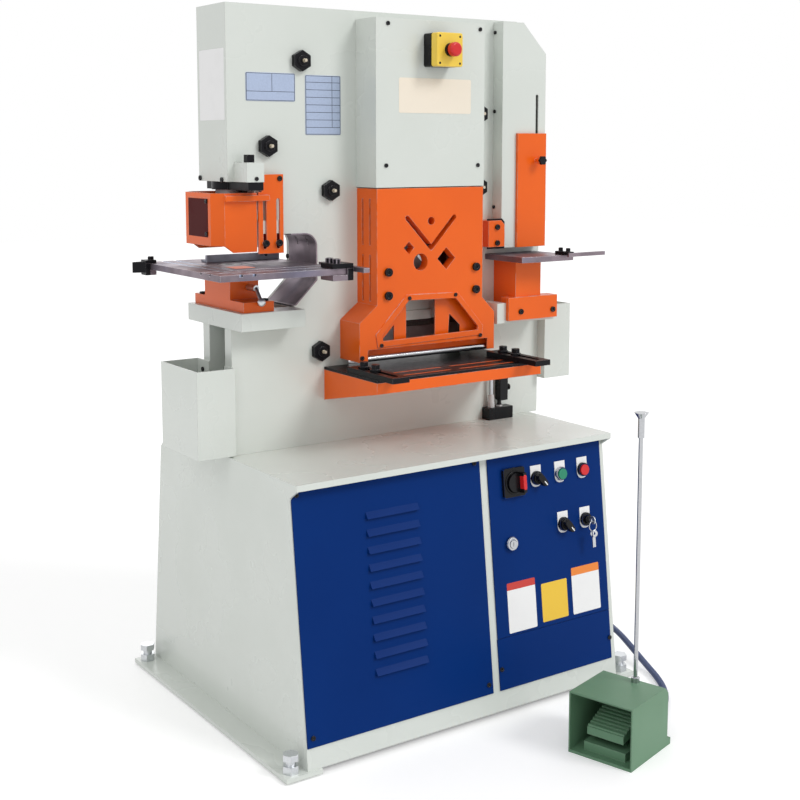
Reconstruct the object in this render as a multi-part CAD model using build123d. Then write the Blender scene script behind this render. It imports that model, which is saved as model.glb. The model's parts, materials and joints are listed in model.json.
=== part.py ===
from build123d import *
import math
import os

# An ironworker: punch at the left, section and bar shears in the middle, notcher at the right.
# Millimetres. +X runs to the right along the front, +Y to the back and +Z up.
# The origin is on the floor, midway between the four levelling screws.

# feet
screw_outside = 28.0
screw_inside = 19.0
screw_radius = 10.0
screw_end_radius = 9.0
screw_head_across = 30.0
screw_head_height = 13.0
screw_stand = 23.0
nut_height = 16.0
foot_gap = 3.0
foot_bar_thick = 10.0
foot_bar_inside = 32.0
foot_bar_outside = 51.0
foot_bar_overhang = 24.0

# cabinet
cabinet_width = 834.0
cabinet_height = 571.0
cabinet_wall = 5.0
cabinet_foot_depth = 728.0
cabinet_top_depth = 598.0
cabinet_hem = 31.0
cabinet_top_thick = 13.0
cabinet_jut_drop = 31.0
cabinet_rear_chamfer = 29.0
sill_height = 20.0
sill_width = 40.0
sill_y = 150.0
gland_length = 20.0
gland_wall = 3.75

# front panels, on the leaning front of the cabinet
panel_thick = 3.0
panel_bottom = 58.0
panel_top_gap = 8.0
panel_edge = 2.0
panel_corner = 14.0
post_left = 53.0
post_width = 20.0
door_edge = 13.0
door_bottom = 171.0
rebate = 15.0
louvre_count = 10
louvre_pitch = 35.6
louvre_first = 165.0
louvre_left = -246.0
louvre_length = 130.0
louvre_height = 14.0
louvre_depth = 8.0
door_lip_depth = 12.0

# controls on the door: columns from the post, rows down from the panels' top
collar_radius = 15.0
collar_height = 8.0
legend_width = 30.0
legend_height = 48.0
legend_rise = 4.0
legend_thick = 1.2
knob_radius = 12.0
knob_grip_width = 9.0
knob_grip_height = 16.0
knob_turn = 40.0
press_travel = 4.0
first_column = 68.0
second_column = 135.0
third_column = 206.0
fourth_column = 273.0
top_row = 59.0
low_row = 173.0
lock_column = 53.0
lock_row = 192.0
switch_width = 60.0
switch_height = 64.0
switch_depth = 8.0
switch_disc_radius = 21.0
switch_grip_width = 9.0
switch_grip_length = 44.0
switch_grip_height = 20.0
key_blade = 2.4
key_length = 22.0
key_ring_radius = 11.0
key_ring_wire = 1.4

# inside the cabinet
tank_left = -380.0
tank_width = 320.0
tank_depth = 440.0
tank_height = 290.0
tank_wall = 4.0
filler_radius = 20.0
motor_x = -230.0
motor_radius = 84.0
motor_length = 160.0
motor_fins = 8
fin_height = 8.0
motor_flange_radius = 110.0
motor_flange_thick = 16.0
motor_box = 40.0
gear_left = 110.0
gear_width = 280.0
gear_top = 540.0
gear_rows = 3
gear_row_pitch = 92.0
gear_first_row = 255.0
gear_pitch = 58.0
gear_box_width = 48.0
gear_box_height = 74.0
gear_box_depth = 70.0

# frame plates, above the cabinet top
plate_thick = 30.0
plate_gap = 72.5
plate_mid_y = 27.5
frame_left = -404.0
frame_right = 442.0
frame_height = 946.0
frame_corner = 76.0
jaw_bottom = 582.0
jaw_step = 469.0
jaw_step_x = -345.0
throat_wall_x = -193.0
throat_radius = 30.0
throat_slope_top = 365.0
throat_slope_x = -249.0
throat_floor = 311.0
ledge_height = 37.5
ledge_right = -257.0
ledge_front = -97.0
ledge_rear = 155.0
ledge_overhang = 6.0
liner_thick = 3.0
liner_proud = 2.5
skin = 3.0
spacer_thick = 22.0
spacer_side = 11.0
spacer_foot = 40.0
spacer_foot_left = -100.0
chute_thick = 8.0
chute_drop = 90.0
window_sill = 22.0
window_sill_proud = 4.0
window_left = -20.0
window_right = 110.0

# hydraulic drive and crosshead
stroke = 55.0
beam_thick = 66.0
beam_left = -392.0
beam_top_gap = 30.0
slide_gap = 0.3
fit_gap = 0.05
head_x = 58.0
cylinder_radius = 95.0
bore_radius = 80.0
rod_radius = 34.0
cylinder_bottom = 621.0
cylinder_length = 275.0
cylinder_flange = 220.0
cylinder_flange_thick = 25.0
cylinder_cap = 20.0
piston_length = 40.0
rod_foot_width = 110.0
rod_foot_thick = 18.0
gib_places = [(-231.0, 836.0), (-314.0, 656.0), (-160.0, 560.0), (-188.0, 208.0), (250.0, 731.0), (250.0,
                                                                                                   560.0)]
gib_nut_across = 39.0
gib_nut_height = 13.0
gib_stud_radius = 11.0
gib_stud_proud = 4.0
gib_pad_radius = 20.0

# punch station
punch_x = -371.0
ram_radius = 28.0
ram_length = 168.0
ram_nut_across = 50.0
ram_nut_height = 38.0
punch_radius = 11.0
punch_entry = 3.0
die_radius = 24.0
die_height = 41.0
die_clearance = 0.5
die_seat_gap = 0.5
slug_radius = 14.0
holder_flange_thick = 22.0
holder_height = 80.0
holder_left = 27.0
holder_right = 41.0
holder_front = 51.5
holder_rear = 67.5
holder_flange_front = 61.0
holder_flange_rear = 49.0
lever_drop = 33.0
lever_boss = 7.0
lever_reach = 36.0
lever_arm = 4.0
lever_ball = 9.0
table_thick = 13.0
table_left = -506.0
table_right = -215.0
table_front = -195.0
table_rear = 180.0
table_groove = 8.0
table_grooves_x = (46.0, 76.0)
table_grooves_y = (45.0, 85.0)
table_groove_depth = 5.0
fence_back = 92.0
fence_thick = 8.0
fence_height = 16.0
fence_foot = 20.0
fence_left = 26.0
fence_right = 3.0
stop_lip = 14.0
stop_plate = 10.0
stop_hook = 12.0
stop_bar_drop = 7.0
stop_bar_thick = 10.0
left_stop_lip = 10.0
left_stop_plate = 7.0
left_stop_bolt = 12.0
right_stop_front = -200.0
right_stop_rear = -150.0
right_stop_inside = 35.0
stop_bar_front = -240.0
stop_bar_rear = -60.0
left_stop_front = 137.0
left_stop_rear = 163.0
left_stop_inside = 14.0
stop_point = 26.0
hanger_height = 40.0
hanger_depth = 56.0
hanger_width = 40.0
hanger_bolt = 16.0
guide_thick = 17.0
box_left = -444.0
box_front = -55.0
box_rear = 110.0
box_right = -348.0
box_chamfer_x = 21.0
box_chamfer_y = 24.0
box_wall = 4.0
box_corner_rise = 14.0
box_bottom = 435.0
box_height = 124.0
pane_front = -20.0
pane_rear = 70.0
pane_bottom = 469.0
pane_top = 549.0
strip_left = -344.0
strip_right = -284.0
strip_bottom = 430.0
strip_tab = 38.0
slot_width = 8.0
slot_low = 444.0
slot_high = 542.0
slot_left_x = -329.0
slot_right_x = -297.0
stripper_stud_z = 452.0
stripper_stud_radius = 3.8
stripper_pad = 12.0

# shears
guard_left = -88.0
guard_right = 204.0
guard_flare = 46.0
guard_flare_right = 36.0
guard_depth = 80.0
guard_wall = 4.0
guard_top = 564.0
guard_bend = 309.0
guard_toe = 273.0
guard_bottom = 186.0
guard_mouth = 26.0
guard_slot = 5.0
guard_slots = [(316.0, 418.0), (440.0, 541.0)]
guard_slot_rows = (28.0, 57.0)
guide_block_depth = 24.0
trapezoid_bottom = 216.0
bar_line = 171.0
bar_gap = 20.0
blade_rake = 12.0
bar_radius = 7.0
lower_blade_height = 40.0
shear_left = -112.0
shear_right = 225.0
shear_opening = 88.0
blade_left = -108.0
blade_right = 222.0
blade_thick = 23.0
upper_blade_thick = 20.0
upper_blade_height = 27.0
section_window = (-40.0, 160.0, 351.0, 531.0)
section_margin = 5.0
section_blade_thick = 26.0
support_left = -176.0
support_right = 271.0
support_depth = 212.0
support_lip = 30.0
support_root = 74.0
support_wall = 6.0
support_top_thick = 6.0
support_slot = 9.0
guide_bar_width = 42.0
guide_bar_thick = 12.0
guide_bar_slot = 13.0
left_guide_x = -153.0
right_guide_x = 230.0
guide_back = -130.0
guide_front = -306.0
guide_bolt_rows = (-165.0, -210.0)
guide_bolt_radius = 5.0
guide_washer_radius = 12.0

# notcher
notch_box_left = 296.0
notch_box_right = 428.0
notch_box_front = 34.6
notch_box_bottom = 416.0
notch_box_top = 944.0
notch_box_corner = 70.0
notch_slit_x = 402.0
notch_table_top = 401.0
notch_table_thick = 13.0
notch_table_front = -181.0
notch_table_cut = 44.0
notch_clamp_inside = 30.0
notch_clamp_width = 18.0
notch_clamp_front = -196.0
notch_clamp_rear = -150.0
notch_clamp_height = 8.0
notch_bar_length = 84.0
notch_bar_front = -200.0
notch_bar_thick = 9.0
notch_x = 336.0
notch_width = 40.0
notch_length = 24.0
notch_gap = 1.0
notch_base_left = 276.0
notch_base_right = 426.0
notch_base_front = -128.0
notch_base_deep = 38.0
notch_ledge_front = -118.0
notch_ledge_height = 14.0
notch_base_height = 46.0
notch_base_floor = 256.0
notch_ear = 26.0
notch_column_left = 302.0
notch_column_right = 371.0
notch_column_front = -121.0
notch_cover_left = 338.0
notch_cover_width = 88.0
notch_cover_height = 270.0
notch_cover_depth = 7.0
notch_knob_radius = 10.0
notch_knob_inside = 30.0

# slug boxes, limit switch and emergency stop
left_box_width = 89.0
left_box_top = 191.0
left_box_front = -54.0
slug_box_rear = 122.0
right_box_width = 82.0
right_box_bottom = 86.0
right_box_top = 268.0
right_box_front = -66.0
limit_left = 269.0
limit_width = 74.0
limit_depth = 28.0
limit_height = 29.0
estop_x = 71.0
estop_z = 864.0
estop_width = 70.0
estop_height = 75.0
estop_depth = 50.0
estop_head_radius = 15.5
estop_neck_radius = 8.0

# foot switch, standing on the floor in front of the cabinet's right side
foot_out = -313.0
foot_y = -640.0
foot_turn = 16.4
foot_width = 146.0
foot_depth = 152.0
foot_height = 130.0
foot_wall = 3.0
foot_chamfer = 14.0
foot_step = 14.0
foot_top_step = 24.0
foot_base_start = 20.0
foot_base_length = 98.0
foot_base_width = 96.0
foot_base_top = 24.0
foot_inlet = 35.0
foot_inlet_length = 22.0
pedal_width = 84.0
pedal_heel = 24.0
pedal_thick = 16.0
pedal_toe = 22.0
pedal_low = 56.0
pedal_high = 84.0
pedal_pin_x = 122.0
pedal_pin_z = 66.0
pedal_pin_radius = 4.0
pedal_ribs = 8
pedal_rib_pitch = 9.0
pedal_rib_width = 4.0
pedal_rib_height = 3.0
rod_height = 560.0
foot_rod_radius = 4.5
cable_radius = 7.5

low = (Align.CENTER, Align.CENTER, Align.MIN)
floor_z = foot_gap + foot_bar_thick
deck = floor_z + cabinet_height
front_face = plate_mid_y - plate_gap / 2 - plate_thick
front_inner = front_face + plate_thick
rear_inner = front_inner + plate_gap
rear_face = rear_inner + plate_thick
frame_top = deck + frame_height
half_cabinet = cabinet_width / 2
screw_span_x = cabinet_width + 2 * screw_outside
screw_span_y = cabinet_foot_depth - 2 * screw_inside
foot_bar_length = screw_span_y + 2 * foot_bar_overhang
slope = math.atan2((cabinet_foot_depth - cabinet_top_depth) / 2, cabinet_height)
panel_top = deck - cabinet_top_thick - panel_top_gap
post_right = post_left + post_width
beam_front = plate_mid_y - beam_thick / 2
beam_rear = plate_mid_y + beam_thick / 2
ledge_top = deck + throat_floor
holder_top = ledge_top + holder_height
table_top = holder_top + table_thick
shear_z = deck + bar_line
notch_base_z = deck + notch_base_floor
notch_front = front_face - notch_box_front
guard_front = front_face - guard_depth


def block(x0, x1, y0, y1, z0, z1):
    return Pos((x0 + x1) / 2, (y0 + y1) / 2, (z0 + z1) / 2) * Box(x1 - x0, y1 - y0, z1 - z0)


def round_bar(start, direction, length, radius):
    return Plane(start, z_dir=direction) * Cylinder(radius, length, align=low)


def hex_bar(start, direction, length, across):
    outline = Plane(start, z_dir=direction) * RegularPolygon(across / math.sqrt(3), 6)
    return extrude(outline, amount=length, dir=direction)


def upright(sketch, y0, y1):
    """Extrude a sketch drawn in X and Z from the depth y0 back to y1."""
    seen_from_front = Plane((0, y1, 0), x_dir=(1, 0, 0), z_dir=(0, -1, 0))
    return extrude(seen_from_front * sketch, amount=y1 - y0, dir=(0, -1, 0))


def outline(points):
    turn = sum(p[0] * q[1] - q[0] * p[1] for p, q in zip(points, points[1:] + points[:1]))
    return Polygon(*(points if turn > 0 else points[::-1]), align=None)


def window(x0, x1, z0, z1):
    return outline([(x0, z0), (x1, z0), (x1, z1), (x0, z1)])


def side_plate(points, x0, x1):
    """Extrude an outline drawn in Y and Z from x0 to x1."""
    seen_from_side = Plane((x0, 0, 0), x_dir=(0, 1, 0), z_dir=(1, 0, 0))
    return extrude(seen_from_side * outline(points), amount=x1 - x0, dir=(1, 0, 0))


def flat_plate(points, z0, z1):
    return extrude(Plane((0, 0, z0)) * outline(points), amount=z1 - z0, dir=(0, 0, 1))


def slot(x0, z0, x1, z1, width):
    """A round-ended slot between two centres, drawn in X and Z."""
    length = math.hypot(x1 - x0, z1 - z0)
    turn = math.degrees(math.atan2(z1 - z0, x1 - x0))
    return Pos((x0 + x1) / 2, (z0 + z1) / 2) * Rot(0, 0, turn) * SlotCenterToCenter(length, width)


def save(name, *solids):
    shape = solids[0] if len(solids) == 1 else Compound(children=list(solids))
    export_step(shape, "parts/" + name + ".step")


# the leaning front: x along it, w up along it and n out of it
front_plane = Plane((0, -cabinet_foot_depth / 2, floor_z), x_dir=(1, 0, 0),
                    z_dir=(0, -math.cos(slope), math.sin(slope)))


def up(z):
    return (z - floor_z) / math.cos(slope)


def front_y(z):
    return -cabinet_foot_depth / 2 + (z - floor_z) * math.tan(slope)


def on_front(x0, x1, z0, z1, n0, n1):
    return front_plane * block(x0, x1, up(z0), up(z1), n0, n1)


def front_disc(centre, radius, n0, n1):
    return front_plane * Pos(centre[0], up(centre[1]), n0) * Cylinder(radius, n1 - n0, align=low)


# the foot switch's conduit, from the gland in the cabinet's right side to the housing's inlet
foot_x = half_cabinet + foot_out
cable_points = [(half_cabinet + x, y, z) for x, y, z in [(gland_length, -118, 84), (55, -118, 84),
                (90, -132, 79.5), (117, -159, 71), (132, -197, 58.5), (134, -236, 44.5),
                (127, -276, 32), (115, -318, 22), (100, -365, 13), (81, -413, 9), (55, -459, 8),
                (21, -502, 8.5), (-20, -538, 10), (-63, -563, 19), (-103.8, -578.5, foot_inlet),
                (-147, -591.2, foot_inlet)]]


# cabinet

def cabinet_profile(inset, top):
    bottom = floor_z - inset
    rear_low = cabinet_foot_depth / 2 - inset
    chamfer_z = top - cabinet_rear_chamfer
    rear_high = -front_y(chamfer_z) - inset
    return [(front_y(bottom) + inset, bottom), (front_y(top) + inset, top),
            (rear_high - cabinet_rear_chamfer, top), (rear_high, chamfer_z), (rear_low, bottom)]


def make_cabinet():
    under_top = deck - cabinet_top_thick
    shell = side_plate(cabinet_profile(0, under_top), -half_cabinet, half_cabinet)
    shell -= side_plate(cabinet_profile(cabinet_wall, under_top), -half_cabinet + cabinet_wall,
                        half_cabinet - cabinet_wall)
    hem_y = front_y(deck) - cabinet_hem
    rear_y = -front_y(deck) - cabinet_rear_chamfer
    shell += block(-half_cabinet, half_cabinet, hem_y, rear_y, under_top, deck)
    jut_z = deck - cabinet_jut_drop
    jut = [(front_y(jut_z), jut_z), (hem_y, under_top), (front_y(deck), under_top)]
    for x0 in (-half_cabinet, half_cabinet - cabinet_wall):
        shell += side_plate(jut, x0, x0 + cabinet_wall)
    right = half_cabinet - door_edge - rebate
    openings = [(-half_cabinet + rebate, post_left - rebate, panel_bottom + rebate, panel_top - rebate),
                (post_right + rebate, right, door_bottom + rebate, panel_top - rebate),
                (post_right + rebate, right, panel_bottom + rebate, door_bottom - rebate)]
    for x0, x1, z0, z1 in openings:
        shell -= on_front(x0, x1, z0, z1, -3 * cabinet_wall, cabinet_wall)
    for side in (-1, 1):
        inside = side * (half_cabinet - foot_bar_inside)
        outside = side * (half_cabinet + foot_bar_outside)
        bar = block(min(inside, outside), max(inside, outside), -foot_bar_length / 2, foot_bar_length / 2,
                    foot_gap, floor_z)
        for end in (-1, 1):
            bar -= round_bar((side * screw_span_x / 2, end * screw_span_y / 2, 0), (0, 0, 1), floor_z + 1,
                             screw_radius)
        shell += bar
        shell += block(-half_cabinet + cabinet_wall, half_cabinet - cabinet_wall,
                       side * sill_y - sill_width / 2, side * sill_y + sill_width / 2, floor_z,
                       floor_z + sill_height)
    return shell + round_bar((half_cabinet, cable_points[0][1], cable_points[0][2]), (1, 0, 0), gland_length,
                             cable_radius + gland_wall)


def make_levelling_screws():
    solids = []
    for x in (-screw_span_x / 2, screw_span_x / 2):
        for y in (-screw_span_y / 2, screw_span_y / 2):
            head_z = floor_z + screw_stand + screw_head_height / 4
            screw = round_bar((x, y, 0), (0, 0, 1), foot_gap, screw_end_radius)
            screw += round_bar((x, y, foot_gap), (0, 0, 1), head_z - foot_gap, screw_radius)
            screw += hex_bar((x, y, floor_z), (0, 0, 1), nut_height, screw_head_across)
            screw += hex_bar((x, y, head_z), (0, 0, 1), screw_head_height, screw_head_across)
            solids.append(screw)
    return solids


def make_louvre_panel():
    left = -half_cabinet + panel_edge
    panel = on_front(left, post_left, panel_bottom, panel_top, 0, panel_thick)
    corner = panel.edges().filter_by(lambda e: abs(e.length - panel_thick) < panel_thick / 10)
    corner = corner.sort_by_distance(front_plane.from_local_coords((left, up(panel_top), 0)))[0]
    panel = chamfer(corner, panel_corner)
    skirt = panel_thick / 2
    for i in range(louvre_count):
        w0 = up(louvre_first + i * louvre_pitch)
        hood = [(w0, panel_thick), (w0, panel_thick + louvre_depth), (w0 + louvre_height, panel_thick)]
        hollow = [(w0 - 1, -1), (w0 - 1, panel_thick + louvre_depth - skirt),
                  (w0, panel_thick + louvre_depth - skirt),
                  (w0 + louvre_height - 2 * skirt, panel_thick), (w0 + louvre_height - 2 * skirt, -1)]
        across = Plane((louvre_left, 0, 0), x_dir=(0, 1, 0), z_dir=(1, 0, 0))
        outer = extrude(across * outline(hood), amount=louvre_length, dir=(1, 0, 0))
        inner = extrude(across * outline(hollow), amount=louvre_length - 2 * skirt, dir=(1, 0, 0))
        panel += front_plane * outer
        panel -= front_plane * Pos(skirt, 0, 0) * inner
    return panel


def make_lower_cover():
    return on_front(post_right, half_cabinet - door_edge, panel_bottom, door_bottom - 1, 0, panel_thick)


door_right = half_cabinet - door_edge
door_back = slide_gap
door_front = door_back + panel_thick
knob_seat = door_front + collar_height + slide_gap
key_seat = door_front + legend_thick + slide_gap
switch_seat = door_front + switch_depth + slide_gap
lock_radius = knob_radius - panel_thick


def control(column, row):
    return (post_right + column, panel_top - row)


switch_centre = control(first_column, top_row)
left_selector_at = control(second_column, top_row)
start_at = control(third_column, top_row)
stop_at = control(fourth_column, top_row)
lower_selector_at = control(third_column, low_row)
key_at = control(fourth_column, low_row)
lock_at = control(lock_column, lock_row)


def legend(centre):
    x, z = centre
    return on_front(x - legend_width / 2, x + legend_width / 2, z - legend_height / 2 + legend_rise,
                    z + legend_height / 2 + legend_rise, door_front, door_front + legend_thick)


def collar(centre, hole):
    ring = front_disc(centre, collar_radius, door_front, door_front + collar_height)
    return ring - front_disc(centre, hole, door_front + legend_thick, door_front + collar_height + 1)


def make_control_door():
    door = on_front(post_right + 1, door_right, door_bottom, panel_top, door_back, door_front)
    edge = 2 * rebate
    lip = (post_right + edge, door_right - edge, door_bottom + edge, panel_top - edge)
    door += on_front(*lip, door_back - door_lip_depth, door_back + 1)
    door -= on_front(lip[0] + skin, lip[1] - skin, lip[2] + skin, lip[3] - skin, -2 * door_lip_depth,
                     door_back)
    for centre in (left_selector_at, start_at, stop_at, lower_selector_at, key_at):
        door += legend(centre)
    for centre in (start_at, stop_at):
        door += collar(centre, knob_radius + slide_gap)
    for centre in (left_selector_at, lower_selector_at):
        door += front_disc(centre, collar_radius, door_front, door_front + collar_height)
    for centre in (key_at, lock_at):
        door += collar(centre, lock_radius + slide_gap)
    cx, cz = switch_centre
    return door + on_front(cx - switch_width / 2, cx + switch_width / 2, cz - switch_height / 2,
                           cz + switch_height / 2, door_front, door_front + switch_depth)


def make_button(centre):
    seat = door_front + legend_thick + press_travel + slide_gap
    return front_disc(centre, knob_radius, seat, door_front + collar_height + press_travel)


def make_selector(centre):
    disc = knob_grip_height / 3
    knob = front_disc(centre, collar_radius - 1, knob_seat, knob_seat + disc)
    grip = Box(knob_grip_width, 2 * collar_radius, knob_grip_height, align=low)
    return knob + front_plane * Pos(centre[0], up(centre[1]), knob_seat) * Rot(0, 0, knob_turn) * grip


def make_main_switch_handle():
    cx, cz = switch_centre
    handle = front_disc(switch_centre, switch_disc_radius, switch_seat, switch_seat + switch_grip_height / 3)
    return handle + on_front(cx + switch_grip_width, cx + 2 * switch_grip_width, cz - switch_grip_length / 2,
                             cz + switch_grip_length / 2, switch_seat, switch_seat + switch_grip_height)


def make_key():
    x, z = key_at
    tip = door_front + collar_height + 2 * panel_thick
    half, bow = key_blade / 2, lock_radius + 1
    plug = front_disc(key_at, lock_radius, key_seat, tip)
    plug += on_front(x - half, x + half, z - bow, z + bow, tip - 1, tip + key_length)
    ring_z = z - bow - key_ring_radius * 0.75
    hang = tip + key_length * 0.65
    ring = front_plane * Pos(x, up(ring_z), hang) * Rot(0, 90, 0) * Torus(key_ring_radius, key_ring_wire)
    spare_top = ring_z - key_ring_radius + 1
    spare = on_front(x - half, x + half, spare_top - 1.6 * key_length, spare_top, hang - bow / 2,
                     hang + bow / 2)
    return plug + ring + spare


def make_lock():
    face = door_front + collar_height
    plug = front_disc(lock_at, lock_radius, key_seat, face + 2)
    x, z = lock_at
    return plug - on_front(x - 1, x + 1, z - lock_radius / 2, z + lock_radius / 2, face, face + skin)


# inside the cabinet

tank_floor = floor_z + sill_height


def make_oil_tank():
    half = tank_depth / 2
    top = tank_floor + tank_height
    tank = block(tank_left, tank_left + tank_width, -half, half, tank_floor, top)
    tank -= block(tank_left + tank_wall, tank_left + tank_width - tank_wall, -half + tank_wall,
                  half - tank_wall, tank_floor + tank_wall, top - tank_wall)
    corner = 2 * filler_radius
    return tank - round_bar((tank_left + tank_width - corner, -half + corner, top - 2 * tank_wall), (0, 0, 1),
                            3 * tank_wall, filler_radius)


def make_pump_motor():
    z0 = tank_floor + tank_height
    motor = round_bar((motor_x, 0, z0), (0, 0, 1), motor_flange_thick, motor_flange_radius)
    body_z = z0 + motor_flange_thick
    motor += round_bar((motor_x, 0, body_z), (0, 0, 1), motor_length, motor_radius)
    pitch = motor_length / (motor_fins + 1)
    for i in range(motor_fins):
        motor += round_bar((motor_x, 0, body_z + (i + 0.7) * pitch), (0, 0, 1), pitch / 3,
                           motor_radius + fin_height)
    motor += round_bar((motor_x, 0, body_z + motor_length), (0, 0, 1), pitch, motor_radius + fin_height / 2)
    side = motor_x + motor_radius - fin_height / 2
    return motor + block(side, side + motor_box, -1.25 * motor_box, 1.25 * motor_box, body_z + motor_box,
                         body_z + 3 * motor_box)


def make_switch_gear():
    y = -sill_y
    rail = cabinet_wall
    gear = block(gear_left, gear_left + gear_width, y, y + skin, tank_floor, gear_top)
    for row in range(gear_rows):
        z = gear_first_row + row * gear_row_pitch
        gear += block(gear_left + gear_box_width / 2, gear_left + gear_width - gear_box_width / 2, y - rail,
                      y, z, z + gear_box_height / 2)
        for i in range(gear_rows + 1 - row):
            x = gear_left + gear_box_width / 2 + i * gear_pitch
            gear += block(x, x + gear_box_width, y - rail - gear_box_depth, y - rail, z - gear_box_height / 4,
                          z + gear_box_height * 0.75)
    return gear


# frame

def frame_face():
    left, wall = frame_left, throat_wall_x
    points = [(left, deck), (frame_right, deck), (frame_right, frame_top - frame_corner),
              (frame_right - frame_corner, frame_top), (left, frame_top), (left, deck + jaw_bottom),
              (jaw_step_x, deck + jaw_bottom), (jaw_step_x, deck + jaw_step), (wall, deck + jaw_step),
              (wall, deck + throat_slope_top), (throat_slope_x, ledge_top), (ledge_right, ledge_top),
              (ledge_right, ledge_top - ledge_height), (left, ledge_top - ledge_height)]
    face = outline(points)
    corner = face.vertices().sort_by_distance((wall, deck + jaw_step, 0))[0]
    return fillet([corner], throat_radius)


cylinder_window = (head_x - cylinder_flange / 2, head_x + cylinder_flange / 2,
                   deck + cylinder_bottom - 2 * chute_thick, deck + cylinder_bottom + cylinder_length)
link_window = (notch_x - notch_width + 4, notch_x + notch_width - 4, deck + notch_box_bottom + skin,
               deck + notch_box_bottom + skin + 2 * stroke + 31)


def make_front_plate():
    x0, x1, z0, z1 = section_window
    opening_top = shear_z + shear_opening
    face = frame_face() - window(*cylinder_window) - window(*link_window)
    face -= window(x0, x1, deck + z0, deck + z1)
    face -= window(shear_left, shear_right, shear_z - lower_blade_height, opening_top)
    plate = upright(face, front_face, front_inner)
    for x, z in gib_places:
        plate -= round_bar((x, front_face - 1, deck + z), (0, 1, 0), plate_thick + 2, gib_stud_radius)
    for step in (1, 2):
        sill = window(window_left, window_right, opening_top, opening_top + step * window_sill)
        plate += upright(sill, front_face - (3 - step) * window_sill_proud, front_face)
    pad_z = deck + stripper_stud_z
    plate += block(strip_left + skin, strip_right - skin, front_face - stripper_pad, front_face,
                   pad_z - slot_width, pad_z + 6 * slot_width)
    for x in (slot_left_x, slot_right_x):
        stud_end = box_front - slide_gap
        plate += round_bar((x, stud_end, pad_z), (0, 1, 0), front_face - stripper_pad - stud_end,
                           stripper_stud_radius)
        plate += round_bar((x, stud_end - cabinet_wall, pad_z), (0, 1, 0), cabinet_wall, slot_width * 0.8)
    ledge_z = notch_base_z - notch_ledge_height
    left, right, z = notch_base_left, notch_base_right - 2, notch_base_z
    step = [(left - notch_ear, ledge_z), (right, ledge_z), (right, z), (left + slot_width, z),
            (left + slot_width, z + notch_ledge_height), (left, z + notch_ledge_height),
            (left, z + notch_ear + slot_width), (left - notch_ear, z + notch_ear + slot_width)]
    plate += upright(outline(step), notch_ledge_front, front_face)
    return plate + make_head_block() + make_end_cover()


def make_rear_plate():
    x0, x1, z0, z1 = section_window
    face = frame_face() - window(*cylinder_window)
    face -= window(x0 - rebate * 2, x1 + rebate * 2, deck + z0 - rebate * 3, deck + z1 + rebate)
    face -= window(shear_left - rebate, shear_right + rebate, shear_z - rebate * 4, shear_z + rebate * 5)
    plate = upright(face, rear_inner, rear_face)
    under_ledge = ledge_top - ledge_height
    spacers = window(frame_left, frame_right - frame_corner - spacer_side, frame_top - spacer_thick,
                     frame_top)
    spacers += window(frame_right - spacer_side, frame_right, deck, frame_top - frame_corner - skin)
    spacers += window(spacer_foot_left, frame_right, deck, deck + spacer_foot)
    chute_top = deck + 2 * chute_drop + 2 * chute_thick
    spacers += outline([(ledge_right, chute_top), (frame_left, chute_top - chute_drop),
                        (frame_left, chute_top - chute_drop - chute_thick),
                        (ledge_right, chute_top - chute_thick)])
    spacers += window(ledge_right - chute_thick / 2, ledge_right + chute_thick, deck, under_ledge)
    return plate + upright(spacers, front_inner, rear_inner)


def make_end_cover():
    cover = block(frame_left - skin, frame_left, front_face, rear_face, deck + jaw_bottom, frame_top + skin)
    return cover + block(frame_left, frame_right - frame_corner, front_face, rear_face, frame_top,
                         frame_top + skin)


def make_head_block():
    z0 = deck + jaw_bottom
    half, bolt = hanger_width / 2, hanger_bolt / 2
    middle = front_face - hanger_depth / 2
    piece = block(punch_x - half, punch_x + half, front_face - hanger_depth, front_face, z0,
                  z0 + hanger_height)
    return piece + block(punch_x - bolt, punch_x + bolt, middle - bolt, middle + bolt, z0 + hanger_height,
                         z0 + hanger_height + hanger_bolt)


def make_throat_liner():
    top = deck + jaw_step
    throat = outline([(frame_left, top), (throat_wall_x, top), (throat_wall_x, deck + throat_slope_top),
                      (throat_slope_x, ledge_top), (frame_left, ledge_top)])
    corner = throat.vertices().sort_by_distance((throat_wall_x, top, 0))[0]
    throat = fillet([corner], throat_radius)
    ring = throat - offset(throat, -liner_thick)
    sheet = ring & window(ledge_right, throat_wall_x, ledge_top + 2, top + 1)
    liner = upright(sheet, front_face - liner_proud, rear_face - rebate)
    for y in (front_face + throat_radius, rear_inner - throat_radius + skin):
        liner -= block(throat_wall_x - 4 * liner_thick, throat_wall_x + 1, y, y + skin, top - throat_radius,
                       top)
    return liner


def make_gib_nuts():
    solids = []
    for x, z in gib_places:
        nut = hex_bar((x, front_face - gib_nut_height, deck + z), (0, 1, 0), gib_nut_height, gib_nut_across)
        nut += round_bar((x, front_face - gib_nut_height - gib_stud_proud, deck + z), (0, 1, 0),
                         gib_stud_proud, gib_stud_radius)
        nut += round_bar((x, front_face, deck + z), (0, 1, 0), plate_thick, gib_stud_radius)
        nut += round_bar((x, front_inner, deck + z), (0, 1, 0), beam_front - front_inner - slide_gap,
                         gib_pad_radius)
        solids.append(nut)
        solids.append(round_bar((x, beam_rear + slide_gap, deck + z), (0, 1, 0),
                                rear_inner - beam_rear - slide_gap, gib_pad_radius))
    return solids


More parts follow.
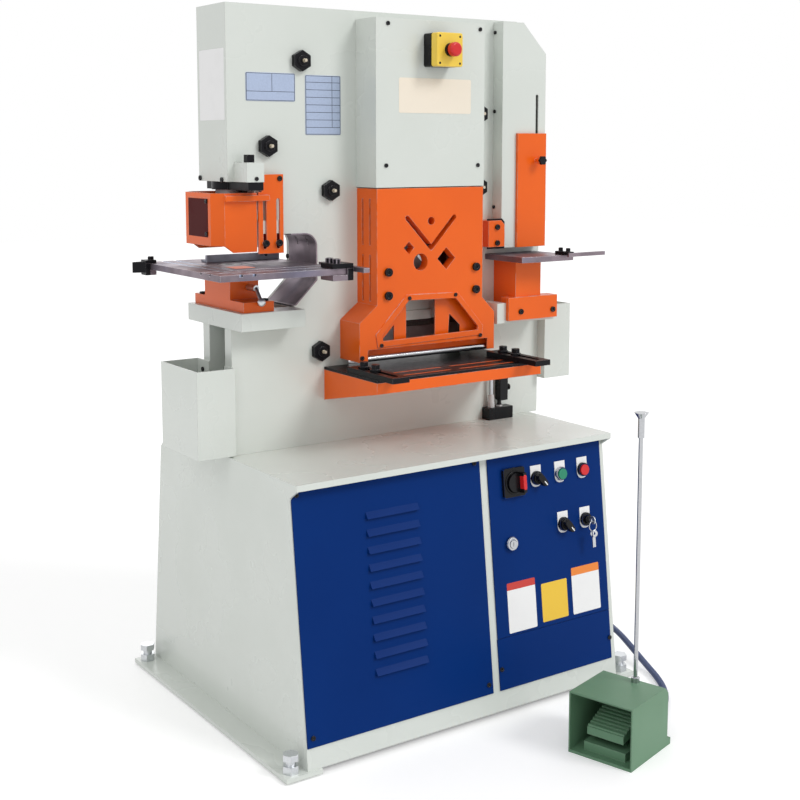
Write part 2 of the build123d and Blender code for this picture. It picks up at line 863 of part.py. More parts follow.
def make_cylinder():
    z0 = deck + cylinder_bottom
    z1 = z0 + cylinder_length
    half = cylinder_flange / 2
    body = round_bar((head_x, plate_mid_y, z0), (0, 0, 1), cylinder_length, cylinder_radius)
    body += block(head_x - half, head_x + half, front_face, rear_face, z1 - cylinder_flange_thick, z1)
    body -= round_bar((head_x, plate_mid_y, z0 + cylinder_cap), (0, 0, 1),
                      cylinder_length - cylinder_cap - cylinder_flange_thick, bore_radius + fit_gap)
    return body - round_bar((head_x, plate_mid_y, z0 - 1), (0, 0, 1), cylinder_cap + 2, rod_radius + fit_gap)


rod_foot_z = deck + cylinder_bottom - stroke


def make_piston_rod():
    top = deck + cylinder_bottom + cylinder_length - cylinder_flange_thick - cabinet_wall
    half = rod_foot_width / 2
    rod = round_bar((head_x, plate_mid_y, rod_foot_z), (0, 0, 1), top - rod_foot_z, rod_radius)
    rod += block(head_x - half, head_x + half, beam_front, beam_rear, rod_foot_z, rod_foot_z + rod_foot_thick)
    return rod + round_bar((head_x, plate_mid_y, top - piston_length), (0, 0, 1), piston_length, bore_radius)


ram_top = deck + jaw_bottom + stroke + 3 * skin
ram_nut_z = ram_top - ram_length
beam_lower = shear_z + bar_gap + rebate
blade_top = beam_lower + upper_blade_height + cabinet_wall


def make_crosshead():
    """One plate that reaches from the punch ram to the notcher, stepped round the throat and the windows."""
    half = cylinder_flange / 2 + 2
    jaw_z = deck + jaw_step + stroke + 10
    left, right = beam_left, frame_right - spacer_side - 1
    arm_x, lower_x, lower_right = jaw_step_x + 19, shear_left - 38, shear_right + 10
    pad_x, pad_low, pad_high = throat_wall_x - 22, deck + bar_line + 5, deck + bar_line + 91
    arm_top, arm_low = deck + notch_box_bottom + 400, deck + notch_box_bottom + 40
    points = [(left, ram_top), (left, frame_top - beam_top_gap), (head_x - half, frame_top - beam_top_gap),
              (head_x - half, rod_foot_z), (head_x + half, rod_foot_z), (head_x + half, arm_top),
              (right, arm_top), (right, arm_low), (lower_right, arm_low), (lower_right, beam_lower),
              (lower_x, beam_lower), (lower_x, pad_low), (pad_x, pad_low), (pad_x, pad_high),
              (lower_x, pad_high), (lower_x, jaw_z), (arm_x, jaw_z), (arm_x, ram_top)]
    beam = upright(outline(points), beam_front, beam_rear)
    x0, x1, z0, z1 = section_window
    near, far = section_margin, 3 * section_margin
    beam -= block(x0 + near, x1 - near, beam_front - 1, beam_front + section_blade_thick, deck + z0 + near,
                  deck + z1 - near)
    beam -= block(x0 + far, x1 - far, beam_front, beam_rear + 1, deck + z0 + far, deck + z1 - far)
    return beam - block(blade_left, blade_right, beam_front - 1, beam_front + upper_blade_thick,
                        beam_lower - 1, blade_top)


angle_foot = 430.0
angle_left = (-7.0, 498.0)
angle_right = (122.0, 497.0)
angle_width = 10.0
small_round = (58.0, 490.0, 8.0)
large_round = (29.0, 399.0, 18.0)
small_square = (-3.0, 432.0, 13.0)
large_square = (100.0, 404.0, 24.0)


def section_cuts(grow):
    """The section shear's angle, round and square holes, in X and Z."""
    cuts = Sketch()
    for x, z in (angle_left, angle_right):
        cuts += slot(x, deck + z, head_x, deck + angle_foot, angle_width + grow)
    for x, z, radius in (small_round, large_round):
        cuts += Pos(x, deck + z) * Circle(radius + grow)
    for x, z, radius in (small_square, large_square):
        cuts += Pos(x, deck + z) * RegularPolygon(radius + grow, 4)
    return cuts


def make_fixed_section_blade():
    x0, x1, z0, z1 = section_window
    return upright(window(x0, x1, deck + z0, deck + z1) - section_cuts(0), front_face, front_inner)


def make_moving_section_blade():
    x0, x1, z0, z1 = section_window
    face = window(x0 + section_margin, x1 - section_margin, deck + z0 + section_margin,
                  deck + z1 - section_margin)
    return upright(face - section_cuts(0), front_inner + slide_gap, beam_front + section_blade_thick)


def make_upper_blade():
    edge = shear_z + bar_gap
    face = outline([(blade_left, edge), (blade_right, edge + blade_rake), (blade_right, blade_top),
                    (blade_left, blade_top)])
    return upright(face, front_inner + slide_gap, beam_front + upper_blade_thick)


def make_lower_blade():
    return block(shear_left, shear_right, front_inner - blade_thick, front_inner,
                 shear_z - lower_blade_height, shear_z)


def make_ram():
    shank_z = ram_nut_z + ram_nut_height
    ram = round_bar((punch_x, plate_mid_y, shank_z), (0, 0, 1), ram_top - shank_z, ram_radius)
    return ram + hex_bar((punch_x, plate_mid_y, ram_nut_z), (0, 0, 1), ram_nut_height, ram_nut_across)


def make_punch():
    tip = table_top - punch_entry + stroke
    return round_bar((punch_x, plate_mid_y, tip), (0, 0, 1), ram_nut_z - tip, punch_radius)


# covers on the frame

cover_left = guard_left - 2
cover_right = guard_right + 2
cover_bottom = deck + guard_top + 2
cover_top = frame_top - 16


def make_head_cover():
    box = block(cover_left, cover_right, guard_front, front_face, cover_bottom, cover_top)
    return box - block(cover_left + skin, cover_right - skin, guard_front + skin, front_face + 1,
                       cover_bottom + skin, cover_top - skin)


def make_rear_cover():
    box = block(cover_left, cover_right, rear_face, rear_face + guard_depth, cover_bottom, cover_top)
    return box - block(cover_left + skin, cover_right - skin, rear_face - 1, rear_face + guard_depth - skin,
                       cover_bottom + skin, cover_top - skin)


def guard_outline(inset):
    left, right = guard_left + inset, guard_right - inset
    wide_left, wide_right = left - guard_flare, right + guard_flare_right
    top, bend, toe = deck + guard_top - inset, deck + guard_bend, deck + guard_toe
    bottom = deck + guard_bottom - (1 if inset else 0)
    return outline([(left, top), (right, top), (right, bend), (wide_right, toe), (wide_right, bottom),
                    (wide_left, bottom), (wide_left, toe), (left, bend)])


def make_shear_guard():
    y0 = guard_front
    x0, x1, z0, z1 = section_window
    guard = upright(guard_outline(0), y0, front_face)
    guard -= upright(guard_outline(guard_wall), y0 + guard_wall, front_face + 1)
    guard += upright(window(x0, x1, deck + z0, deck + z1), y0 + guard_wall, y0 + guide_block_depth)
    guard -= upright(section_cuts(1), y0 - 1, y0 + guide_block_depth + 1)
    mouth = window(shear_left, shear_right - section_margin, deck + guard_bottom - 1,
                   deck + guard_bottom + guard_mouth)
    guard -= upright(mouth, y0 - 1, y0 + guard_wall + 1)
    z = deck + trapezoid_bottom
    plate = outline([(-92, z + 29), (-87, z), (203, z + 6), (205, z + 28), (132, z + 109), (-10, z + 112)])
    hole = outline([(-76, z + 26), (-73, z + 13), (190, z + 18), (191, z + 26), (127, z + 96), (-4, z + 99)])
    guard += upright(plate, y0 - 2, y0)
    guard -= upright(hole, y0 - skin, y0 + guard_wall + 1)
    pane_y = y0 + guide_block_depth - skin
    pane_bottom_z = deck + guard_bottom + skin - 1
    pane_face = window(guard_left - guard_flare, guard_right + guard_flare_right, pane_bottom_z, z + 104)
    inner = upright(pane_face & guard_outline(guard_wall / 2), pane_y, pane_y + skin)
    for points in ([(4, z + 8), (84, z + 9), (84, z + 95), (4, z + 95)],
                   [(-65, z + 8), (-29, z + 8), (-29, z + 44)],
                   [(122, z + 10), (156, z + 10), (156, z + 30), (125, z + 58)]):
        inner -= upright(outline(points), pane_y - 1, pane_y + skin + 1)
    guard += inner
    for y in guard_slot_rows:
        for low_z, high_z in guard_slots:
            guard -= block(guard_left - 1, guard_left + guard_wall + 1, y0 + y - guard_slot / 2,
                           y0 + y + guard_slot / 2, deck + low_z, deck + high_z)
    return guard


def make_hold_down_bar():
    left = guard_left - guard_flare + guard_wall
    right = guard_right + guard_flare_right - guard_wall
    z = deck + guard_bottom + bar_radius - 2
    return round_bar((left, guard_front + guard_wall + bar_radius + 2, z), (1, 0, 0), right - left,
                     bar_radius)


support_front = front_face - support_depth
support_top = shear_z - support_top_thick


def make_support():
    lip_z = shear_z - support_lip
    side = [(support_front, support_top), (support_front, lip_z), (front_face, shear_z - support_root),
            (front_face, support_top)]
    solid = side_plate(side, support_left, support_left + support_wall)
    solid += side_plate(side, support_right - support_wall, support_right)
    solid += block(support_left, support_right, support_front, front_face, support_top - support_wall,
                   support_top)
    return solid + block(support_left, support_right, support_front, support_front + support_wall, lip_z,
                         support_top)


def make_support_top():
    top = block(support_left, support_right, support_front, front_face, support_top, shear_z)
    for y in (support_front + 25, support_front + 62):
        for x0, x1 in ((-105, 35), (57, 222)):
            long_slot = Pos((x0 + x1) / 2, y, support_top - 1) * SlotOverall(x1 - x0, support_slot)
            top -= extrude(long_slot, amount=support_top_thick + 2, dir=(0, 0, 1))
    bolt_top = shear_z + guide_bar_thick + 2 * slide_gap
    washer, head = support_wall - 2, 2 * guide_bolt_radius
    for x in (left_guide_x, right_guide_x):
        for y in guide_bolt_rows:
            top += round_bar((x, y, shear_z), (0, 0, 1), bolt_top - shear_z, guide_bolt_radius)
            top += round_bar((x, y, bolt_top), (0, 0, 1), washer, guide_washer_radius)
            top += hex_bar((x, y, bolt_top + washer), (0, 0, 1), head, 1.7 * head)
    return top


def make_guide(x):
    middle = (guide_back + guide_front) / 2
    length = guide_back - guide_front
    z0 = shear_z + slide_gap
    bar = block(x - guide_bar_width / 2, x + guide_bar_width / 2, guide_front, guide_back, z0,
                z0 + guide_bar_thick)
    groove = Pos(x, middle, z0 - 1) * Rot(0, 0, 90) * SlotOverall(length - 2 * rebate, guide_bar_slot)
    return bar - extrude(groove, amount=guide_bar_thick + 2, dir=(0, 0, 1))


# punch station

def make_ledge():
    ledge = block(frame_left - ledge_overhang, ledge_right, ledge_front, ledge_rear, ledge_top - ledge_height,
                  ledge_top)
    ledge -= round_bar((punch_x, plate_mid_y, ledge_top - ledge_height - 1), (0, 0, 1), ledge_height + 2,
                       slug_radius + 2)
    return ledge - block(punch_x + holder_right + chute_thick, ledge_right - ledge_overhang,
                         front_face + skin, rear_face - 2, ledge_top - ledge_height - 1, ledge_top + 1)


die_body_front = plate_mid_y - holder_front


def make_die_holder():
    z1 = ledge_top + holder_flange_thick
    left, right = punch_x - holder_left, punch_x + holder_right
    front, rear = die_body_front, plate_mid_y + holder_rear
    holder = block(left, right + 4, front - holder_flange_front, rear + holder_flange_rear, ledge_top, z1)
    holder += block(left, right, front, rear, z1, holder_top)
    holder -= round_bar((punch_x, plate_mid_y, ledge_top - 1), (0, 0, 1), holder_height, slug_radius)
    return holder - round_bar((punch_x, plate_mid_y, table_top - die_height), (0, 0, 1), die_height,
                              die_radius)


def make_die():
    z0 = table_top - die_height
    die = round_bar((punch_x, plate_mid_y, z0), (0, 0, 1), die_height, die_radius)
    die -= round_bar((punch_x, plate_mid_y, z0 - 1), (0, 0, 1), die_height + 2, punch_radius + die_clearance)
    return die - round_bar((punch_x, plate_mid_y, z0 - 1), (0, 0, 1), die_height * 0.75, slug_radius)


def make_clamp_lever():
    x, y, z = punch_x + holder_left - 10, die_body_front, holder_top - lever_drop
    ball = Vector(x - lever_ball, y - 2 * lever_reach - 2, z - 25)
    root = Vector(x, y - lever_reach + 2, z)
    lever = round_bar((x, y - lever_reach, z), (0, 1, 0), lever_reach - slide_gap, lever_boss)
    lever += round_bar(root, ball - root, (ball - root).length, lever_arm)
    return lever + Pos(*ball) * Sphere(lever_ball)


def make_punch_table():
    table = block(table_left, table_right, table_front, table_rear, holder_top, table_top)
    table -= round_bar((punch_x, plate_mid_y, holder_top - 1), (0, 0, 1), table_thick + 2,
                       die_radius + die_seat_gap)
    half, z = table_groove / 2, table_top - table_groove_depth
    for inset in table_grooves_x:
        x = table_left + inset
        table -= block(x - half, x + half, table_front - 1, table_rear + 1, z, table_top + 1)
    for inset in table_grooves_y:
        y = table_front + inset
        table -= block(table_left - 1, table_right + 1, y - half, y + half, z, table_top + 1)
    return table


def make_rear_fence():
    z0 = table_top + slide_gap
    left, right = punch_x - fence_left, table_right - fence_right
    fence = block(left, right, fence_back - fence_thick, fence_back, z0, z0 + fence_height)
    return fence + block(left, right, fence_back - fence_thick, fence_back + fence_foot, z0,
                         z0 + table_groove_depth)


def make_right_stop():
    z0 = table_top + slide_gap
    outside, inside = table_right + stop_lip, table_right - right_stop_inside
    front, rear = right_stop_front, right_stop_rear
    hook_z = holder_top - stop_hook
    stop = block(inside, outside, front, rear, z0, z0 + stop_plate)
    stop += block(table_right + slide_gap, outside, front, rear, hook_z, z0)
    stop += block(inside, outside, front, rear, hook_z, holder_top - slide_gap)
    stop += block(outside, outside + stop_lip, stop_bar_front, stop_bar_rear, table_top - stop_bar_drop,
                  table_top - stop_bar_drop + stop_bar_thick)
    for y in (front + stop_plate, rear - stop_hook):
        stop += hex_bar((inside + stop_lip, y, z0 + stop_plate), (0, 0, 1), stop_plate, 16)
    return stop


def make_left_stop():
    z0 = table_top + slide_gap
    z1 = z0 + left_stop_plate
    outside, inside = table_left - left_stop_lip, table_left + left_stop_inside
    front, rear = left_stop_front, left_stop_rear
    middle = (front + rear) / 2
    hook_z = holder_top - stop_hook
    stop = block(outside, inside, front, rear, z0, z1)
    stop += block(outside, table_left - slide_gap, front, rear, hook_z, z0)
    stop += block(outside, inside, front, rear, hook_z, holder_top - slide_gap)
    stop += flat_plate([(outside - stop_point, middle), (outside, front + 4), (outside, rear - 4)],
                       holder_top - stop_hook / 2, z1 - left_stop_plate / 2)
    return stop + hex_bar((table_left + stop_lip / 2, middle, z1), (0, 0, 1), left_stop_plate, left_stop_bolt)


def make_ram_guide():
    z1 = deck + jaw_bottom
    half = hanger_width / 2 - 2
    bar = block(punch_x - half, punch_x + half, front_face - hanger_depth, rear_face, z1 - guide_thick, z1)
    bar += round_bar((punch_x, plate_mid_y, z1 - guide_thick), (0, 0, 1), guide_thick,
                     ram_radius + chute_thick)
    return bar - round_bar((punch_x, plate_mid_y, z1 - 2 * guide_thick), (0, 0, 1), 3 * guide_thick,
                           ram_radius + fit_gap)


def make_stripper():
    z0 = deck + box_bottom
    z1 = z0 + box_height
    w, cut_x, cut_y = box_wall, box_chamfer_x, box_chamfer_y
    ring = [(box_right, box_front), (box_left + cut_x, box_front), (box_left, box_front + cut_y),
            (box_left, box_rear - cut_y), (box_left + cut_x, box_rear), (box_right, box_rear)]
    inner = [(box_right + 1, box_front + w), (box_left + cut_x + w / 2, box_front + w),
             (box_left + w, box_front + cut_y + w / 2), (box_left + w, box_rear - cut_y - w / 2),
             (box_left + cut_x + w / 2, box_rear - w), (box_right + 1, box_rear - w)]
    box = flat_plate(ring, z0, z1) - flat_plate(inner, z0 - 1, z1 + 1)
    box -= block(box_left - 1, box_left + w + 1, pane_front, pane_rear, deck + pane_bottom, deck + pane_top)
    box += block(box_left + 0.5, box_left + w - 0.5, pane_front, pane_rear, deck + pane_bottom,
                 deck + pane_top)
    plate = window(strip_left, strip_right, deck + strip_bottom, z1 + 1)
    plate += window(strip_left + slot_width, strip_right, z1, z1 + strip_tab)
    for x in (slot_left_x, slot_right_x):
        plate -= slot(x, deck + slot_low, x, deck + slot_high, slot_width)
    box += upright(plate, box_front, box_front + w)
    corner_z = z0 + box_corner_rise
    corner = outline([(box_left - 1, z0 - 1), (box_left + 2 * cut_x, z0 - 1), (box_left + cut_x, corner_z),
                      (box_left - 1, corner_z)])
    box -= upright(corner, box_front - 1, box_rear + 1)
    return box + block(box_left + cut_x - 1, slot_left_x + slot_width, box_front - slot_width, box_front,
                       deck + slot_high, deck + slot_high + stop_hook)


# notcher

def make_notch_box():
    z0, z1 = deck + notch_box_bottom, deck + notch_box_top
    x0, x1, cut = notch_box_left, notch_box_right, notch_box_corner
    outer = outline([(x0, z0), (x1, z0), (x1, z1 - cut), (x1 - cut, z1), (x0, z1)])
    inner = outline([(x0 + skin, z0 - 1), (x1 - skin, z0 - 1), (x1 - skin, z1 - cut - 1),
                     (x1 - cut - 1, z1 - skin), (x0 + skin, z1 - skin)])
    box = upright(outer, notch_front, front_face) - upright(inner, notch_front + skin, front_face + 1)
    slit_z = z0 + notch_cover_height
    slit = slot(notch_slit_x, slit_z - 2 * skin, notch_slit_x, slit_z + 88, slot_width)
    return box - upright(slit, notch_front - 1, notch_front + skin + 1)


def make_notch_cover():
    y1 = notch_front - slide_gap
    y0 = y1 - notch_cover_depth
    x0, x1 = notch_cover_left, notch_cover_left + notch_cover_width
    z0 = deck + notch_box_bottom
    z1 = z0 + notch_cover_height
    cover = block(x0, x1, y0, y1, z0, z1)
    cover -= block(x0 + skin, x1 - skin, y0 + skin, y1 + 1, z0 - 1, z1 - skin)
    knob_x, knob_y, knob_z = x1 - notch_knob_inside, y0 - 2 * notch_knob_radius, z1 - 64
    cover += round_bar((knob_x, knob_y, knob_z), (0, 1, 0), y1 - knob_y, cabinet_wall)
    cover += round_bar((knob_x, knob_y, knob_z), (0, 1, 0), notch_cover_depth, notch_knob_radius)
    pin_z = z1 - cabinet_wall
    cover += block(notch_slit_x - 6, notch_slit_x + 6, y0 + 2, y1, z1 - stop_hook, z1 - 2)
    return cover + round_bar((notch_slit_x, y1 - 2, pin_z), (0, 1, 0), chute_thick + 2, skin + 0.5)


def make_notch_punch():
    z0 = deck + notch_box_bottom + stroke + 7
    half, wide = notch_width / 2, notch_width * 0.75
    back = notch_front + chute_thick
    punch = block(notch_x - wide, notch_x + wide, notch_front + skin + 1, beam_front, z0,
                  z0 + 2 * notch_width - 2)
    return punch + block(notch_x - half, notch_x + half, back, back + notch_length,
                         deck + notch_table_top + rebate, z0)


def notch_die_hole(z0, z1):
    half = notch_width / 2 + notch_gap
    back = notch_front + chute_thick
    return block(notch_x - half, notch_x + half, back - notch_gap, back + notch_length + notch_gap, z0, z1)


def make_notch_table():
    z1 = deck + notch_table_top
    left, right = notch_base_left - 1, notch_base_right + 2
    clamp = right - notch_clamp_inside
    bar_z = z1 + notch_clamp_height - 2
    top = flat_plate([(left, notch_table_front + 5), (left + notch_table_cut, notch_table_front),
                      (right, notch_table_front), (right, front_face),
                      (left, front_face)], z1 - notch_table_thick, z1)
    top += block(clamp, clamp + notch_clamp_width, notch_clamp_front, notch_clamp_rear, z1,
                 z1 + notch_clamp_height)
    top += block(clamp, right + notch_bar_length, notch_bar_front, notch_bar_front + notch_clamp_height,
                 bar_z - notch_bar_thick, bar_z)
    return top - notch_die_hole(z1 - 2 * notch_table_thick, z1 + 1)


def make_notch_base():
    z1 = deck + notch_table_top - notch_table_thick
    z0, z2 = notch_base_z, notch_base_z + notch_base_height
    rear = notch_base_front + notch_base_deep
    base = block(notch_base_left, notch_base_right, notch_base_front, notch_ledge_front, z0 - chute_thick, z2)
    base += block(notch_base_left + chute_thick, notch_base_right, notch_ledge_front, rear, z0, z2)
    base += block(notch_column_left, notch_column_right, notch_column_front, front_face, z0, z1)
    web = [(notch_column_front, z2), (notch_column_front, z1), (front_face, z1), (front_face, z0), (rear, z0)]
    base += side_plate(web, notch_column_right, notch_column_right + chute_thick)
    base -= notch_die_hole(z0 + stop_plate, z1 + 1)
    return base - block(notch_x, notch_base_right + 1, notch_front + chute_thick - 1,
                        notch_front + chute_thick + notch_length - 1, z0 + stop_plate,
                        z0 + spacer_thick + stop_plate)


def make_notch_bracket():
    z0 = deck + notch_box_bottom + 4
    z1 = z0 + 62
    left, right, cut = notch_base_left - notch_ear, notch_box_left + 2, 10
    points = [(left, z0), (right, z0), (right, z1 - cut), (right - cut, z1), (left, z1)]
    back = notch_front - skin + 0.6
    bracket = upright(outline(points), back - 7.3, back)
    return bracket + block(left, notch_box_left - skin, back, front_face, z0, z1)


# boxes, limit switch, emergency stop

def open_box(x0, x1, y0, y1, z0, z1):
    return block(x0, x1, y0, y1, z0, z1) - block(x0 + skin, x1 - skin, y0 + skin, y1 - skin, z0 + skin,
                                                 z1 + 1)


def make_left_slug_box():
    box = open_box(frame_left - left_box_width, frame_left, left_box_front, slug_box_rear, deck + skin,
                   deck + left_box_top)
    return box - block(frame_left - skin - 1, frame_left + 1, front_inner, rear_inner, deck + chute_drop,
                       deck + left_box_top + 1)


def make_right_slug_box():
    return open_box(frame_right, frame_right + right_box_width, right_box_front, slug_box_rear - 1,
                    deck + right_box_bottom, deck + right_box_top)


def make_limit_switch():
    y = front_face - limit_depth / 2
    top = deck + limit_height
    wand, body = limit_left + 12, limit_left + 37
    switch = block(limit_left, limit_left + limit_width, front_face - limit_depth, front_face, deck, top)
    switch += round_bar((wand, y, top), (0, 0, 1), 38, 8)
    switch += round_bar((wand, y, top + 38), (0, 0, 1), 80, 4)
    switch += round_bar((body + 5, y, top), (0, 0, 1), 18, 7)
    switch += block(body - 11, body + 11, y - 9, y + 9, top + 17, top + 77)
    return switch + round_bar((body + 18, y, top + 45), (-1, 0, 0), 10, 8)


def make_estop_box():
    y1, z = guard_front, deck + estop_z
    half, collar_z = estop_width / 2, estop_neck_radius * 2 - 1
    box = block(estop_x - half, estop_x + half, y1 - estop_depth, y1, z - estop_height / 2,
                z + estop_height / 2)
    box += round_bar((estop_x, y1 - estop_depth - 6, z), (0, 1, 0), 7, collar_z)
    return box - round_bar((estop_x, y1 - estop_depth - 7, z), (0, 1, 0), 17, estop_neck_radius + slide_gap)


def make_estop_button():
    face, z = guard_front - estop_depth, deck + estop_z
    button = round_bar((estop_x, face - 26, z), (0, 1, 0), 14, estop_head_radius)
    button = fillet(button.edges().filter_by(GeomType.CIRCLE).sort_by(Axis.Y)[0], 6)
    return button + round_bar((estop_x, face - 13, z), (0, 1, 0), 14, estop_neck_radius)


# foot switch, drawn with its mouth at x = 0 and then turned into place

foot_place = Pos(foot_x, foot_y, 0) * Rot(0, 0, foot_turn)
rod_x, rod_y = foot_depth - foot_top_step, -9.0


def make_foot_housing():
    half = foot_width / 2
    wall, back = foot_wall, foot_depth - foot_top_step
    shell = block(0, foot_depth, -half, half, 0, foot_height)
    rear_top = shell.edges().filter_by(Axis.Y).sort_by_distance((foot_depth, 0, foot_height))[0]
    shell = chamfer(rear_top, foot_chamfer)
    shell -= block(-1, foot_depth - wall, -half + wall, half - wall, 2 * wall, foot_height - wall) \
        - block(back, foot_depth, -half, half, foot_height - foot_top_step, foot_height)
    shell += block(foot_base_start, foot_base_start + foot_base_length, -foot_base_width / 2,
                   foot_base_width / 2, 2 * wall - 1, foot_base_top)
    shell += block(foot_depth - 2, foot_depth + foot_step, -half, half, 0, foot_step)
    shell += round_bar((foot_depth - 1, 0, foot_inlet), (1, 0, 0), foot_inlet_length,
                       cable_radius + gland_wall)
    shell += round_bar((pedal_pin_x, -half + 1, pedal_pin_z), (0, 1, 0), foot_width - 2, pedal_pin_radius)
    return foot_place * shell


def make_foot_pedal():
    px, pz, lug = pedal_pin_x, pedal_pin_z, 2 * pedal_pin_radius
    flat_end = px - pedal_heel
    rise = (pedal_high - pedal_low) / (flat_end - pedal_toe)
    points = [(pedal_toe, pedal_low - pedal_thick), (pedal_toe, pedal_low), (flat_end, pedal_high),
              (px + lug, pedal_high), (px + lug, pz - lug), (px - lug, pz - lug)]
    seen_from_side = Plane((0, pedal_width / 2, 0), x_dir=(1, 0, 0), z_dir=(0, -1, 0))
    face = outline(points)
    wide, high = pedal_rib_width, pedal_rib_height
    for i in range(pedal_ribs):
        x = pedal_toe + skin + i * pedal_rib_pitch
        z = pedal_low + (x - pedal_toe) * rise
        face += outline([(x, z - 1), (x + wide, z - 1 + wide * rise), (x + wide, z + high + wide * rise),
                         (x, z + high)])
    pedal = extrude(seen_from_side * face, amount=pedal_width, dir=(0, -1, 0))
    pedal -= round_bar((px, -foot_width, pz), (0, 1, 0), 2 * foot_width, pedal_pin_radius + fit_gap)
    return foot_place * pedal


def make_foot_rod():
    radius = foot_rod_radius
    rod = round_bar((rod_x, rod_y, foot_height), (0, 0, 1), 10, 2 * radius)
    rod += round_bar((rod_x, rod_y, foot_height), (0, 0, 1), rod_height - 20, radius)
    rod += round_bar((rod_x, rod_y, foot_height + rod_height - 40), (0, 0, 1), 40, radius + 2.5)
    top = Pos(rod_x, rod_y, foot_height + rod_height) * Cone(radius + 2.5, 15, 12, align=low)
    return foot_place * (rod + top)


def make_cable():
    points = [Vector(*p) for p in cable_points]
    radii = []
    for before, at, after in zip(points, points[1:], points[2:]):
        turn = math.radians((at - before).get_angle(after - at))
        radii.append(0.45 * min((at - before).length, (after - at).length) / math.tan(turn / 2))
    path = FilletPolyline(*points, radius=radii)
    print("cable radii", [round(r) for r in radii], "length", round(path.length))
    section = Plane(points[0], z_dir=points[1] - points[0]) * Circle(cable_radius)
    cable = sweep(section, path=path)
    print("cable volume ratio", round(cable.volume / (math.pi * cable_radius ** 2 * path.length), 4))
    return cable


def main():
    os.makedirs("parts", exist_ok=True)
    save("cabinet", make_cabinet())
    save("levelling_screws", *make_levelling_screws())
    save("louvre_panel", make_louvre_panel())
    save("lower_cover", make_lower_cover())
    save("control_door", make_control_door())
    save("start_button", make_button(start_at))
    save("stop_button", make_button(stop_at))
    save("left_selector", make_selector(left_selector_at))
    save("lower_selector", make_selector(lower_selector_at))
    save("main_switch_handle", make_main_switch_handle())
    save("switch_key", make_key())
    save("door_lock", make_lock())
    save("oil_tank", make_oil_tank())
    save("pump_motor", make_pump_motor())
    save("switch_gear", make_switch_gear())
    save("front_frame_plate", make_front_plate())
    save("rear_frame_plate", make_rear_plate())
    save("throat_liner", make_throat_liner())
    save("gib_screws", *make_gib_nuts())
    save("hydraulic_cylinder", make_cylinder())
    save("piston_rod", make_piston_rod())
    save("crosshead_beam", make_crosshead())
    save("fixed_section_blade", make_fixed_section_blade())
    save("moving_section_blade", make_moving_section_blade())
    save("upper_shear_blade", make_upper_blade())
    save("lower_shear_blade", make_lower_blade())
    save("punch_ram", make_ram())
    save("punch", make_punch())
    save("head_cover", make_head_cover())
    save("rear_cover", make_rear_cover())
    save("shear_guard", make_shear_guard())
    save("hold_down_bar", make_hold_down_bar())
    save("shear_support", make_support())
    save("shear_support_top", make_support_top())
    save("left_guide", make_guide(left_guide_x))
    save("right_guide", make_guide(right_guide_x))
    save("die_ledge", make_ledge())
    save("die_holder", make_die_holder())
    save("punch_die", make_die())
    save("clamp_lever", make_clamp_lever())
    save("punch_table", make_punch_table())
    save("rear_fence", make_rear_fence())
    save("right_stop", make_right_stop())
    save("left_stop", make_left_stop())
    save("ram_guide", make_ram_guide())
    save("stripper_box", make_stripper())
    save("notch_box", make_notch_box())
    save("notch_cover", make_notch_cover())
    save("notch_punch", make_notch_punch())
    save("notch_table", make_notch_table())
    save("notch_base", make_notch_base() + make_notch_bracket())
    save("left_slug_box", make_left_slug_box())
    save("right_slug_box", make_right_slug_box())
    save("limit_switch", make_limit_switch())
    save("estop_box", make_estop_box())
    save("estop_button", make_estop_button())
    save("foot_switch_housing", make_foot_housing())
    save("foot_pedal", make_foot_pedal())
    save("foot_switch_rod", make_foot_rod())
    save("foot_switch_cable", make_cable())


if __name__ == "__main__":
    main()
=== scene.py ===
import bpy
import bmesh
import json
import math
from mathutils import Matrix, Vector

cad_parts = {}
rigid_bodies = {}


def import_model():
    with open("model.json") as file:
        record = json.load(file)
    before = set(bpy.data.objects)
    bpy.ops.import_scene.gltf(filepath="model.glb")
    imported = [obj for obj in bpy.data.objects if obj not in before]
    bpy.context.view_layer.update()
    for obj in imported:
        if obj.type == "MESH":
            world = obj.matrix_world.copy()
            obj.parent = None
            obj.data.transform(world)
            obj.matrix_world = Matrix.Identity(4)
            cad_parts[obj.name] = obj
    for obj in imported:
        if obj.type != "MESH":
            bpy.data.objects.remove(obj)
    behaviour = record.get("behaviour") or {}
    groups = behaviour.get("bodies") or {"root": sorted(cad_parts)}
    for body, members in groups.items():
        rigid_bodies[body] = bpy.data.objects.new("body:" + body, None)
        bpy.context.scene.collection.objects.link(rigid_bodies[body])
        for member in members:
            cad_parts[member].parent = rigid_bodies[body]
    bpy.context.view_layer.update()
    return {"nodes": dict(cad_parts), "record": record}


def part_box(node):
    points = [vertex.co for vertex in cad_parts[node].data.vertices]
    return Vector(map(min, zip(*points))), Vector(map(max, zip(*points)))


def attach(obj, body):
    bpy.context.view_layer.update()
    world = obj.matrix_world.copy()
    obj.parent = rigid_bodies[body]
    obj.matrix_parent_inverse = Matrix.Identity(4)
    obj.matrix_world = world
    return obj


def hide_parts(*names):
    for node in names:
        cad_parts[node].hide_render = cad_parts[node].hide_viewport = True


# An ironworker: punch at the left, section and bar shears in the middle, notcher at the right.
# Sizes are in millimetres in the model's own frame: X to the right, Y to the back, Z up, floor at zero.

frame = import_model()
mm = 0.001
print("stage: frame loaded,", len(frame["nodes"]), "nodes")


# shader sums

